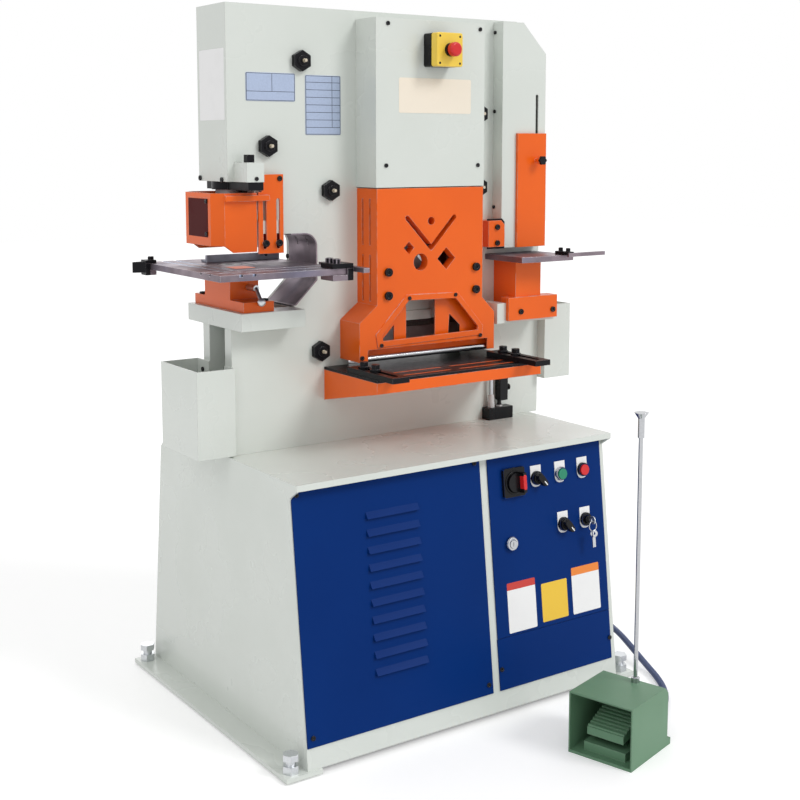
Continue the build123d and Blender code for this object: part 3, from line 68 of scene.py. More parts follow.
class Value:
    def __init__(self, look, socket):
        self.look, self.socket = look, socket

    def maths(self, operation, *others):
        inputs = dict(enumerate((self, *others)))
        return self.look.node("ShaderNodeMath", {"operation": operation}, inputs)

    def __add__(self, other):
        return self.maths("ADD", other)

    def __sub__(self, other):
        return self.maths("SUBTRACT", other)

    def __rsub__(self, other):
        return (self * -1.0) + other

    def __mul__(self, other):
        return self.maths("MULTIPLY", other)

    def clamped(self):
        return self.maths("MINIMUM", 1.0).maths("MAXIMUM", 0.0)

    __radd__, __rmul__ = __add__, __mul__


def rgba(colour):
    return colour if isinstance(colour, Value) else (*colour[:3], 1.0)


class Look:
    def __init__(self, owner):
        # the owner is a material or a world
        owner.use_nodes = True
        self.owner, self.tree = owner, owner.node_tree
        self.tree.nodes.clear()

    def node(self, kind, settings=None, inputs=None, output=0):
        made = self.tree.nodes.new(kind)
        for name, setting in (settings or {}).items():
            if name == "stops":
                ramp = made.color_ramp
                for stop, (at, shade) in enumerate(setting):
                    element = ramp.elements[stop] if stop < 2 else ramp.elements.new(at)
                    element.position, element.color = at, (shade, shade, shade, 1)
            else:
                setattr(made, name, setting)
        for name, value in (inputs or {}).items():
            if isinstance(value, Value):
                self.tree.links.new(value.socket, made.inputs[name])
            else:
                made.inputs[name].default_value = value
        return Value(self, made.outputs[output])

    def stretched(self, scale):
        return self.node("ShaderNodeMapping", {}, {"Vector": self.place, "Scale": scale})

    def noise(self, scale, detail=2.0, place=None):
        inputs = {"Vector": place or self.place, "Scale": scale, "Detail": detail}
        return self.node("ShaderNodeTexNoise", {}, inputs)

    def ramp(self, value, *stops):
        return self.node("ShaderNodeValToRGB", {"stops": stops}, {"Fac": value})

    def patches(self, scale, low, high, detail=4.0, place=None):
        return self.ramp(self.noise(scale, detail, place), (low, 0.0), (high, 1.0))

    def mixed(self, mask, first, second):
        inputs = {0: mask, 6: rgba(first), 7: rgba(second)}
        return self.node("ShaderNodeMix", {"data_type": "RGBA"}, inputs, output=2)

    def bumped(self, strength, distance, height, normal):
        inputs = {"Strength": strength, "Distance": distance * mm, "Height": height, "Normal": normal}
        return self.node("ShaderNodeBump", {}, inputs)

    def softened(self, radius):
        return self.node("ShaderNodeBevel", {"samples": 6}, {"Radius": radius * mm})

    def wornAndLitEdges(self, radius):
        # the softened normal, and a mask that is white where an edge turns and black on the flats; it carries
        # scuffed edges, and on the paint a painted edge highlight
        soft = self.softened(radius)
        sharp = self.node("ShaderNodeNewGeometry", output="Normal")
        dot = self.node("ShaderNodeVectorMath", {"operation": "DOT_PRODUCT"}, {0: soft, 1: sharp}, output=1)
        return soft, ((1 - dot) * 6.0).clamped()

    def finish(self, colour, roughness, metallic=0.0, normal=None, **fixed):
        inputs = {"Base Color": rgba(colour), "Roughness": roughness, "Metallic": metallic}
        if normal is not None:
            inputs["Normal"] = normal
        inputs.update({name.replace("_", " "): value for name, value in fixed.items()})
        shader = self.node("ShaderNodeBsdfPrincipled", {}, inputs)
        out = self.tree.nodes.new("ShaderNodeOutputMaterial")
        self.tree.links.new(shader.socket, out.inputs["Surface"])
        return self.owner


def newLook(name):
    look = Look(bpy.data.materials.new(name))
    look.place = look.node("ShaderNodeTexCoord", output="Object")
    return look


# finishes

def paint(name, base, shade, rubbedAndHighlitEdge=None, roughness=0.32, peel=0.12, edge=1.2, grime=0.25, coat=0.2,
          gloss=0.5, wearAndHighlight=0.6):
    # sprayed enamel: orange peel, cloudy sheen, and edges in a second colour, partly from rubbing by hands
    # and plate and partly a painted highlight where that colour is light
    look = newLook(name)
    soft, edges = look.wornAndLitEdges(edge)
    cloud = look.patches(5.0, 0.42, 0.72)
    speck = look.patches(45.0, 0.36, 0.56, 3.0)
    colour = look.mixed(cloud * grime, base, shade)
    # the edge colour: scuffing, and a painted highlight where it is lighter than the paint
    colour = look.mixed(edges * speck * wearAndHighlight, colour, rubbedAndHighlitEdge or shade)
    rough = roughness + cloud * 0.08 + edges * 0.10
    bump = look.bumped(peel, 0.3, look.noise(420.0, 1.0), soft)
    return look.finish(colour, rough, normal=bump, Coat_Weight=coat, Coat_Roughness=0.08,
                       Specular_IOR_Level=gloss)


def groundSteel(name, base, shade, tint=None, along=(1, 40, 1), roughness=0.34, edge=0.8, marks=0.6):
    # ground plate under oil: fine lines one way, stains, bright edges
    look = newLook(name)
    soft, edges = look.wornAndLitEdges(edge)
    lines = look.noise(60.0, 3.0, look.stretched(along))
    stain = look.patches(14.0, 0.42, 0.66, 6.0)
    film = look.patches(5.5, 0.50, 0.70, 3.0)
    colour = look.mixed(stain * marks, base, shade)
    colour = look.mixed(film * 0.6, colour, tint or shade)
    colour = look.mixed(edges, colour, (0.62, 0.61, 0.62))
    rough = roughness + lines * 0.16 + stain * 0.14 - edges * 0.12
    return look.finish(colour, rough, metallic=1.0, normal=look.bumped(0.12, 0.2, lines, soft))


def blackOxide(name, base=(0.007, 0.007, 0.009), shine=0.28, edge=0.6):
    look = newLook(name)
    soft, edges = look.wornAndLitEdges(edge)
    film = look.noise(120.0, 3.0)
    colour = look.mixed(edges * 0.8, base, (0.22, 0.21, 0.22))
    bump = look.bumped(0.10, 0.1, film, soft)
    return look.finish(colour, shine + film * 0.15, metallic=0.4, normal=bump, Specular_IOR_Level=0.22)


def plated(name, base, shine=0.14, spots=0.0, edge=0.5):
    look = newLook(name)
    soft = look.softened(edge)
    spangle = look.node("ShaderNodeTexVoronoi", {}, {"Vector": look.place, "Scale": 260.0}, output="Distance")
    smear = look.noise(30.0, 4.0)
    colour = look.mixed(spangle * spots, base, [part * 0.6 for part in base])
    return look.finish(colour, shine + smear * 0.14, metallic=1.0, normal=soft)


def moulded(name, base, shine=0.30, grain=0.06, edge=0.6, gloss=0.5, coat=0.1):
    look = newLook(name)
    soft = look.softened(edge)
    dust = look.patches(25.0, 0.50, 0.80)
    colour = look.mixed(dust * 0.12, base, [0.75 * part + 0.02 for part in base])
    bump = look.bumped(grain, 0.1, look.noise(900.0, 1.0), soft)
    return look.finish(colour, shine + dust * 0.15, normal=bump, Coat_Weight=coat, Coat_Roughness=0.1,
                       Specular_IOR_Level=gloss)


def casting(name, base, shade, edge=1.5):
    look = newLook(name)
    soft = look.softened(edge)
    sand = look.noise(160.0, 5.0)
    colour = look.mixed(look.ramp(sand, (0.35, 0.0), (0.7, 1.0)), base, shade)
    return look.finish(colour, 0.55 + sand * 0.2, metallic=0.5, normal=look.bumped(0.35, 0.5, sand, soft))


white, whiteShade = (0.655, 0.69, 0.65), (0.56, 0.60, 0.545)
orange, orangeShade = (0.83, 0.125, 0.006), (0.62, 0.075, 0.005)
blue, blueShade = (0.0012, 0.026, 0.155), (0.001, 0.018, 0.115)
# light edge colour for the orange paint: bare metal scuffs and a painted edge highlight
bareMetalAndHighlight = (0.55, 0.53, 0.50)

finishes = {
    "frame_paint": paint("framePaint", white, whiteShade, roughness=0.26, coat=0.3, gloss=0.4),
    "guard_paint": paint("guardPaint", orange, orangeShade, bareMetalAndHighlight, roughness=0.30, peel=0.08, edge=1.5,
                         coat=0.1, gloss=0.25, wearAndHighlight=1.0),
    "panel_paint": paint("panelPaint", blue, blueShade, roughness=0.38, peel=0.10, coat=0.0, gloss=0.06),
    "table_steel": groundSteel("tableSteel", (0.27, 0.22, 0.25), (0.11, 0.095, 0.11), (0.13, 0.15, 0.24)),
    "tool_steel": groundSteel("toolSteel", (0.36, 0.35, 0.36), (0.17, 0.16, 0.17), along=(30, 1, 1)),
    "black_steel": blackOxide("blackSteel"),
    "zinc": plated("zincPlate", (0.66, 0.68, 0.70), shine=0.28, spots=0.35),
    "chromed": plated("chromePlate", (0.52, 0.53, 0.55), shine=0.10, spots=0.3),
    "cast_iron": casting("castIron", (0.09, 0.09, 0.09), (0.15, 0.14, 0.13)),
    "motor_paint": paint("motorPaint", (0.16, 0.19, 0.21), (0.12, 0.14, 0.15), roughness=0.45),
    "black_plastic": moulded("blackPlastic", (0.0045, 0.0045, 0.006), shine=0.24, gloss=0.2, coat=0.03),
    "red_plastic": moulded("redPlastic", (0.62, 0.012, 0.015), gloss=0.4),
    "green_plastic": moulded("greenPlastic", (0.008, 0.22, 0.12), gloss=0.4),
    "yellow_plastic": moulded("yellowPlastic", (0.86, 0.60, 0.07), gloss=0.4),
    "foot_green": paint("footGreen", (0.125, 0.25, 0.15), (0.085, 0.175, 0.10), (0.30, 0.36, 0.30),
                        roughness=0.36, peel=0.25, coat=0.0, gloss=0.3),
    "conduit": moulded("conduitSleeve", (0.055, 0.075, 0.17)),
}
blank = {
    "white": moulded("whiteField", (0.84, 0.84, 0.84), shine=0.4, gloss=0.3),
    "cream": moulded("creamField", (0.84, 0.76, 0.64), shine=0.4, gloss=0.3),
    "red": moulded("redField", (0.55, 0.03, 0.02), shine=0.4),
    "yellow": moulded("yellowField", (0.82, 0.52, 0.03), shine=0.4),
    "orange": moulded("orangeField", (0.80, 0.22, 0.02), shine=0.4),
    # the stripper's dark red pane, and the dark red sheet of painted shade at its back
    "darkRed": moulded("darkRedPaneAndShade", (0.07, 0.004, 0.004), shine=0.35, gloss=0.04, coat=0.0),
    # dark print lines and seams, and the dark marks of painted shade behind slots and in the vent slots
    "inkAndShade": moulded("darkLinesAndShade", (0.03, 0.03, 0.04), shine=0.5, gloss=0.2),
    "etched": plated("etchedPlate", (0.40, 0.47, 0.62), shine=0.34, spots=0.25),
    "brass": plated("nickelNipple", (0.56, 0.50, 0.40), shine=0.22),
    "fence": groundSteel("fenceSteel", (0.33, 0.34, 0.40), (0.20, 0.20, 0.24), (0.24, 0.26, 0.36)),
    "clear": moulded("paleSleeve", (0.55, 0.56, 0.56), shine=0.2),
}

for entry in frame["record"]["subparts"]:
    piece = bpy.data.objects[entry["node"]]
    for place in piece.material_slots:
        place.material = finishes[entry["material_slot"]]
bpy.data.objects["rear_fence"].material_slots[0].material = blank["fence"]
print("stage: finishes on", len(frame["nodes"]), "nodes")


# floor, light and camera

def placed(name, data):
    made = bpy.data.objects.new(name, data)
    bpy.context.scene.collection.objects.link(made)
    return made


studio = {
    "floor": 14.0, "floorWhite": 0.82, "floorLift": 0.29, "sky": 0.66,
    # each lamp: strength, place, what it points at and how wide the sun is
    "lamps": {"keyLight": (1.25, (1.6, -3.0, 3.2), (0, 0, 0.6), 0.35),
              "fillLight": (0.45, (-2.6, -1.0, 3.4), (0, 0, 0.8), 0.8),
              "backLight": (0.45, (1.0, 3.0, 3.0), (0, 0, 0.8), 0.8)},
}
cameraPlace = {"at": (-1.6479, -2.4690, 1.2401), "yaw": 34.59, "pitch": 6.94, "lens": 58.4, "shift": -0.12,
               "sensor": 36.0}


def backgroundRays(look):
    # rays that may see the plain white background: the camera's, and those off metal and glass
    rays = look.tree.nodes.new("ShaderNodeLightPath")
    kinds = ("Is Camera Ray", "Is Glossy Ray", "Is Transmission Ray")
    seen = [Value(look, rays.outputs[kind]) for kind in kinds]
    return (seen[0] + seen[1] + seen[2]).clamped()


def makeFloor():
    half = studio["floor"]
    mesh = bpy.data.meshes.new("studioFloor")
    corners = [(-half, -half, 0), (half, -half, 0), (half, half, 0), (-half, half, 0)]
    mesh.from_pydata(corners, [], [(0, 1, 2, 3)])
    floor = placed("studioFloor", mesh)
    look = newLook("studioFloor")
    lift = look.mixed(backgroundRays(look), (0, 0, 0), [studio["floorLift"]] * 3)
    mesh.materials.append(look.finish([studio["floorWhite"]] * 3, 0.9, Emission_Color=lift,
                                      Emission_Strength=1.0, Specular_IOR_Level=0.0))


def makeLamp(name, strength, place, target, angle):
    data = bpy.data.lights.new(name, "SUN")
    data.energy, data.angle = strength, angle
    lamp = placed(name, data)
    lamp.location = place
    lamp.rotation_euler = (Vector(target) - Vector(place)).to_track_quat("-Z", "Y").to_euler()


def makeWorld():
    world = bpy.data.worlds.new("studioWorld")
    bpy.context.scene.world = world
    sky = Look(world)
    seen = backgroundRays(sky)
    strength = seen * (1.0 - studio["sky"]) + studio["sky"]
    shade = sky.node("ShaderNodeBackground", {}, {"Color": (1, 1, 1, 1), "Strength": strength})
    out = sky.tree.nodes.new("ShaderNodeOutputWorld")
    sky.tree.links.new(shade.socket, out.inputs["Surface"])


def makeCamera():
    data = bpy.data.cameras.new("photoCamera")
    data.sensor_width = cameraPlace["sensor"]
    data.lens, data.shift_y = cameraPlace["lens"], cameraPlace["shift"]
    camera = placed("photoCamera", data)
    camera.location = cameraPlace["at"]
    camera.rotation_euler = (math.radians(90 - cameraPlace["pitch"]), 0, math.radians(-cameraPlace["yaw"]))
    bpy.context.scene.camera = camera


makeFloor()
makeWorld()
for lampName, (strength, place, target, angle) in studio["lamps"].items():
    makeLamp(lampName, strength, place, target, angle)
makeCamera()
bpy.context.scene.view_settings.view_transform = "Standard"
print("stage: studio ready")


# geometry node trees

def newTree(name, sizes):
    # a tree with one geometry in and out and a named input for each size
    tree = bpy.data.node_groups.new(name, "GeometryNodeTree")
    tree.interface.new_socket("Geometry", in_out="INPUT", socket_type="NodeSocketGeometry")
    for label, value in sizes.items():
        kind = "NodeSocketInt" if isinstance(value, int) else "NodeSocketFloat"
        tree.interface.new_socket(label, in_out="INPUT", socket_type=kind).default_value = value
    tree.interface.new_socket("Material", in_out="INPUT", socket_type="NodeSocketMaterial")
    tree.interface.new_socket("Geometry", in_out="OUTPUT", socket_type="NodeSocketGeometry")
    return tree, tree.nodes.new("NodeGroupInput"), tree.nodes.new("NodeGroupOutput")


def wire(tree, kind, settings=None, inputs=None):
    made = tree.nodes.new(kind)
    for name, setting in (settings or {}).items():
        setattr(made, name, setting)
    for name, value in (inputs or {}).items():
        if isinstance(value, bpy.types.NodeSocket):
            tree.links.new(value, made.inputs[name])
        else:
            made.inputs[name].default_value = value
    return made.outputs[0]


def maths(tree, operation, *inputs):
    return wire(tree, "ShaderNodeMath", {"operation": operation}, dict(enumerate(inputs)))


def closeTree(tree, into, out, shape):
    solid = wire(tree, "GeometryNodeRealizeInstances", {}, {"Geometry": shape})
    coated = wire(tree, "GeometryNodeSetMaterial", {},
                  {"Geometry": solid, "Material": into.outputs["Material"]})
    tree.links.new(coated, out.inputs[0])


def scatter(tree, into, out, inputs):
    # copies of a shape on points, and the end of the tree
    closeTree(tree, into, out, wire(tree, "GeometryNodeInstanceOnPoints", {}, inputs))
    return tree


def grown(name, data, tree, sizes, material, body):
    # runs a tree on a mesh or curve and keeps the plain mesh that it makes
    seed = placed(name + "Seed", data)
    live = seed.modifiers.new("grow", "NODES")
    live.node_group = tree
    sockets = {item.name: item.identifier for item in tree.interface.items_tree if item.in_out == "INPUT"}
    for label, value in sizes.items():
        live[sockets[label]] = value
    live[sockets["Material"]] = material
    bpy.context.view_layer.update()
    ready = seed.evaluated_get(bpy.context.evaluated_depsgraph_get())
    mesh = bpy.data.meshes.new_from_object(ready)
    seed.modifiers.remove(live)
    bpy.data.objects.remove(seed)
    mesh.name = name
    if not mesh.materials:
        mesh.materials.append(material)
    piece = placed(name, mesh)
    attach(piece, body)
    return piece


# foot switch conduit

conduit = {
    "diameter": 15 * mm, "length": 0.68, "pitch": 4.4 * mm, "depth": 0.11, "around": 20,
    "route": [(437, -118, 84), (472, -118, 84), (507, -132, 79.5), (534, -159, 71), (549, -197, 58.5),
              (551, -236, 44.5), (544, -276, 32), (532, -318, 22), (517, -365, 13), (498, -413, 9),
              (472, -459, 8), (438, -502, 8.5), (397, -538, 10), (354, -563, 19),
              (313.2, -578.5, 35), (270, -591.2, 35)],
}


def routeCurve(name, points, order=3, resolution=12):
    curve = bpy.data.curves.new(name, "CURVE")
    curve.dimensions = "3D"
    spline = curve.splines.new("NURBS")
    spline.points.add(len(points) - 1)
    for point, place in zip(spline.points, points):
        point.co = (*(part * mm for part in place), 1)
    spline.order_u = order
    spline.use_endpoint_u = True
    spline.resolution_u = resolution
    return curve


def conduitTree(sizes):
    tree, into, out = newTree("corrugatedConduit", sizes)
    line, pitch = into.outputs["Geometry"], into.outputs["Pitch"]
    even = wire(tree, "GeometryNodeResampleCurve", {"mode": "LENGTH"},
                {"Curve": line, "Length": maths(tree, "DIVIDE", pitch, 4.0)})
    along = wire(tree, "GeometryNodeSplineParameter").node.outputs["Length"]
    wave = maths(tree, "COSINE", maths(tree, "MULTIPLY", maths(tree, "DIVIDE", along, pitch), 2 * math.pi))
    share = maths(tree, "MULTIPLY_ADD", maths(tree, "SUBTRACT", wave, 1.0), into.outputs["Depth"], 1.0)
    radius = maths(tree, "MULTIPLY", share, into.outputs["Radius"])
    ring = wire(tree, "GeometryNodeCurvePrimitiveCircle", {},
                {"Resolution": into.outputs["Around"], "Radius": 1.0})
    sized = wire(tree, "GeometryNodeSetCurveRadius", {}, {"Curve": even, "Radius": radius})
    tube = wire(tree, "GeometryNodeCurveToMesh", {},
                {"Curve": sized, "Profile Curve": ring, "Fill Caps": True})
    # where the node has a scale of its own, the radius goes in there too
    if "Scale" in tube.node.inputs:
        tree.links.new(radius, tube.node.inputs["Scale"])
    closeTree(tree, into, out, tube)
    return tree


def makeConduit():
    curve = routeCurve("footSwitchRoute", conduit["route"])
    line = placed("footSwitchRoute", curve)
    bpy.context.view_layer.update()
    run = bpy.data.meshes.new_from_object(line.evaluated_get(bpy.context.evaluated_depsgraph_get()))
    bpy.data.objects.remove(line)
    sizes = {"Radius": conduit["diameter"] / 2, "Pitch": conduit["pitch"], "Depth": conduit["depth"],
             "Around": conduit["around"]}
    sleeve = grown("footSwitchConduit", curve, conduitTree(sizes), sizes, finishes["conduit"], "machine")
    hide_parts("foot_switch_cable")


makeConduit()
print("stage: conduit laid")


# solid pieces, drawn in millimetres on a place: u to the right, v up and w out of it

sharpAngle = 35    # degrees from which an edge of a drawn piece is sharp and bevelled


def smoothed(mesh, degrees):
    mesh.shade_smooth()
    mesh.set_sharp_from_angle(angle=math.radians(degrees))


def facing(origin, outward, up=(0, 0, 1)):
    out = Vector(outward).normalized()
    right = Vector(up).cross(out).normalized()
    turn = Matrix((right, out.cross(right), out)).transposed().to_4x4()
    return Matrix.Translation(Vector(origin) * mm) @ turn @ Matrix.Scale(mm, 4)


def lying(z):
    return facing((0, 0, z), (0, 0, 1), (0, 1, 0))


def standing(y):
    return facing((0, y, 0), (0, -1, 0))


def leftward(x):
    return facing((x, 0, 0), (-1, 0, 0))


class Form:
    def __init__(self, place):
        self.place, self.mesh = place, bmesh.new()

    def add(self, corners, faces):
        points = [self.mesh.verts.new(self.place @ Vector(corner)) for corner in corners]
        for face in faces:
            self.mesh.faces.new([points[corner] for corner in face])

    def plate(self, outline, low, high):
        count = len(outline)
        corners = [(u, v, w) for w in (low, high) for u, v in outline]
        sides = [(k, (k + 1) % count, (k + 1) % count + count, k + count) for k in range(count)]
        self.add(corners, [tuple(reversed(range(count))), tuple(range(count, 2 * count)), *sides])

    def box(self, u, v, w):
        self.plate([(u[0], v[0]), (u[1], v[0]), (u[1], v[1]), (u[0], v[1])], *w)

    def rounded(self, u, v, w, radius, corners=(1, 1, 1, 1), steps=6):
        # a plate with its corners rounded, from the lower left one round to the right
        outline = []
        tips = [(u[0], v[0], 1, 1, 180), (u[1], v[0], -1, 1, 270), (u[1], v[1], -1, -1, 0),
                (u[0], v[1], 1, -1, 90)]
        for (cu, cv, du, dv, start), keep in zip(tips, corners):
            if not keep:
                outline.append((cu, cv))
                continue
            for step in range(steps + 1):
                angle = math.radians(start + 90 * step / steps)
                outline.append((cu + du * radius + radius * math.cos(angle),
                                cv + dv * radius + radius * math.sin(angle)))
        self.plate(outline, *w)

    def turned(self, profile, at=(0, 0), around=32):
        # profile of (radius, w) turned about the w axis; a radius of zero closes it
        rings = []
        for radius, w in profile:
            if radius == 0:
                rings.append([self.mesh.verts.new(self.place @ Vector((*at, w)))])
                continue
            angles = [2 * math.pi * k / around for k in range(around)]
            spots = [(at[0] + radius * math.cos(a), at[1] + radius * math.sin(a), w) for a in angles]
            rings.append([self.mesh.verts.new(self.place @ Vector(spot)) for spot in spots])
        closed = profile[0][0] != 0
        for low, high in zip(rings, rings[1:] + rings[:1] if closed else rings[1:]):
            for k in range(around):
                a, b = low[k % len(low)], low[(k + 1) % len(low)]
                c, d = high[(k + 1) % len(high)], high[k % len(high)]
                corners = [a, b, c, d]
                self.mesh.faces.new([v for n, v in enumerate(corners) if v not in corners[:n]])

    def piece(self, name, body, slot, bevel, material=None):
        # the material is the slot's own finish unless another is given
        bmesh.ops.recalc_face_normals(self.mesh, faces=self.mesh.faces)
        mesh = bpy.data.meshes.new(name)
        self.mesh.to_mesh(mesh)
        self.mesh.free()
        mesh.materials.append(material or finishes[slot])
        smoothed(mesh, sharpAngle)
        made = placed(name, mesh)
        if bevel:
            edges = made.modifiers.new("edges", "BEVEL")
            edges.width, edges.segments, edges.limit_method = bevel * mm, 2, "ANGLE"
            edges.angle_limit, edges.harden_normals = math.radians(sharpAngle), True
        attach(made, body)
        return made


def boxed(place, sides, name, body, slot, bevel, material=None):
    form = Form(place)
    form.box(*sides)
    form.piece(name, body, slot, bevel, material)


def reach(node):
    low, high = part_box(node)
    return [part / mm for part in low], [part / mm for part in high]


frontFace = reach("fixed_section_blade")[0][1]
guardFront = reach("head_cover")[0][1]
deckTop = reach("cabinet")[1][2]
tableTop = reach("punch_table")[1][2]
notchFront = reach("notch_box")[0][1]

# the cabinet's front and back lean in as they rise, from the foot bars up
lean = {"run": 65, "rise": 571, "front": -364, "back": 364, "foot": 13}
leanAngle = math.atan(lean["run"] / lean["rise"])
leanOut = (0, -math.cos(leanAngle), math.sin(leanAngle))
leanUp = (0, math.sin(leanAngle), math.cos(leanAngle))
leanFoot = (0, lean["front"], lean["foot"])
leaning = facing(leanFoot, leanOut, leanUp)
panelFace, doorFace = 3.0, 3.3    # how far the panel's and the door's faces stand out of that plane


def upLean(z):
    return (z - lean["foot"]) / math.cos(leanAngle)


def upLeans(*heights):
    return [upLean(z) for z in heights]


# screws and nipples

screws = {
    # height, recess and how far the head's middle stands off, all in head radii
    "around": 20, "height": 0.56, "recess": 0.55, "seated": 0.27,
    "machine": [
        # place, facing and head radius
        *[((x, z), "lean", 5.0) for x, z in [(-404, 558), (38, 560), (-402, 77), (41, 79), (79, 104),
                                             (400, 106)]],
        *[((-407, y, z), (-1, 0, 0), 5.5) for y, z in [(87, 1172), (-15, 1170)]],
        *[((x, guardFront, z), (0, -1, 0), 4.6) for x, z in [(-59, 1502), (192, 1501), (-64, 1198),
                                                             (188, 1197)]],
        *[((x, guardFront - 2, z), (0, -1, 0), 9.5) for x in (-60, 183) for z in (965, 913)],
        *[((296, -45, z), (-1, 0, 0), 4.2) for z in (1504, 1321, 1096)],
        *[((275, -84, z), (0, -1, 0), 6.5) for z in (1050.5, 1013.4)],
        *[((x, -128, z), (0, -1, 0), 6.5) for x, z in [(313, 852), (412, 851)]],
        ((335, -55, 890), (0, 0, 1), 6.5),
        *[((-257, y, z), (-1, 0, 0), 5.0) for y, z in [(72, 1002), (-25, 1004)]],
        ((-407, 92, 754), (-1, 0, 0), 5.0),
        ((-369, -94.8, 1173), (0, -1, 0), 4.2),
        *[((x, -58.5, 1036), (0, -1, 0), 7.4) for x in (-329, -297)],
        *[((x, y, 917), (0, 0, 1), 8.0) for x, y in [(-340, -70), (-340, 120), (-388, 124)]],
        *[((x, guardFront - 2, z), (0, -1, 0), 4.4) for x, z in [(-3, 904), (125, 904), (197, 805),
                                                                 (-78, 804)]],
        ((-128, guardFront, 780), (0, -1, 0), 5.0),
        *[((x, 173.8, z), (0, 1, 0), 4.6) for x in (-78, 192) for z in (1165, 1499)],
    ],
    "stripper": [*[((-444.5, y, z), (-1, 0, 0), 4.4) for y, z in [(-14, 1126), (-14, 1058)]],
                 ((-293, -55, 1172), (0, -1, 0), 5.5)],
}
nipples = {"around": 14, "length": 9, "radius": 4.2,
           # stem, collar and nose: share of the length, of the radius, and how far up
           "parts": [(1.0, 0.62, 0.5), (0.35, 1.0, 0.2), (0.3, 0.85, 0.95)],
           "at": [(-231, 1420), (-314, 1240), (-160, 1144), (-188, 792), (250, 1315), (250, 1144)]}


def screwTree(sizes):
    # a head with a hexagon cut out of it, turned and sized by each point's own values
    tree, into, out = newTree("socketScrews", sizes)
    head, hexagon = [wire(tree, "GeometryNodeMeshCylinder", {}, {"Vertices": around, "Radius": radius,
                                                                 "Depth": into.outputs["Height"]})
                     for around, radius in ((into.outputs["Around"], 1.0), (6, into.outputs["Recess"]))]
    lift = maths(tree, "MULTIPLY", into.outputs["Height"], 0.55)
    rise = wire(tree, "ShaderNodeCombineXYZ", {}, {"Z": lift})
    raised = wire(tree, "GeometryNodeTransform", {}, {"Geometry": hexagon, "Translation": rise})
    cut = wire(tree, "GeometryNodeMeshBoolean", {"operation": "DIFFERENCE"},
               {"Mesh 1": head, "Mesh 2": raised})
    way = wire(tree, "GeometryNodeInputNamedAttribute", {"data_type": "FLOAT_VECTOR"}, {"Name": "facing"})
    size = wire(tree, "GeometryNodeInputNamedAttribute", {"data_type": "FLOAT"}, {"Name": "size"})
    turn = wire(tree, "FunctionNodeAlignRotationToVector", {"axis": "Z"}, {"Vector": way})
    return scatter(tree, into, out, {"Points": into.outputs["Geometry"], "Instance": cut, "Rotation": turn,
                                     "Scale": size})


def screwPoints(name, places):
    mesh = bpy.data.meshes.new(name)
    spots, ways, sizes = [], [], []
    for at, way, radius in places:
        if way == "lean":
            spots.append(leaning @ Vector((at[0], upLean(at[1]), panelFace + radius * screws["seated"])))
            way = leanOut
        else:
            spots.append((Vector(at) + Vector(way) * radius * screws["seated"]) * mm)
        ways.append(way)
        sizes.append(radius * mm)
    mesh.from_pydata([tuple(spot) for spot in spots], [], [])
    facings = mesh.attributes.new("facing", "FLOAT_VECTOR", "POINT")
    facings.data.foreach_set("vector", [part for way in ways for part in way])
    mesh.attributes.new("size", "FLOAT", "POINT").data.foreach_set("value", sizes)
    return mesh


screwSizes = {"Around": screws["around"], "Height": screws["height"], "Recess": screws["recess"]}
socketScrews = screwTree(screwSizes)
for bodyName in ("machine", "stripper"):
    label = bodyName + "Screws"
    points = screwPoints(label, screws[bodyName])
    heads = grown(label, points, socketScrews, screwSizes, finishes["black_steel"], bodyName)
    smoothed(heads.data, 30)


def nippleTree(sizes):
    # a stem, a hex collar and a round nose, one on each point
    tree, into, out = newTree("greaseNipples", sizes)
    join = wire(tree, "GeometryNodeJoinGeometry")
    for share, girth, lift in nipples["parts"]:
        radius = maths(tree, "MULTIPLY", into.outputs["Radius"], girth)
        depth, rise = [maths(tree, "MULTIPLY", into.outputs["Length"], part) for part in (share, lift)]
        part = wire(tree, "GeometryNodeMeshCylinder", {},
                    {"Vertices": into.outputs["Around"], "Radius": radius, "Depth": depth})
        offset = wire(tree, "ShaderNodeCombineXYZ", {}, {"Z": rise})
        moved = wire(tree, "GeometryNodeTransform", {}, {"Geometry": part, "Translation": offset})
        tree.links.new(moved, join.node.inputs[0])
    turn = wire(tree, "FunctionNodeAlignRotationToVector", {"axis": "Z"}, {"Vector": (0, -1, 0)})
    return scatter(tree, into, out, {"Points": into.outputs["Geometry"], "Instance": join, "Rotation": turn})


def makeNipples():
    mesh = bpy.data.meshes.new("greaseNipples")
    nutFront = reach("gib_screws")[0][1]
    mesh.from_pydata([(x * mm, nutFront * mm, z * mm) for x, z in nipples["at"]], [], [])
    sizes = {"Around": nipples["around"], "Length": nipples["length"] * mm, "Radius": nipples["radius"] * mm}
    made = grown("greaseNipples", mesh, nippleTree(sizes), sizes, blank["brass"], "machine")
    smoothed(made.data, 30)


makeNipples()
print("stage: screws and nipples")


# controls on the door

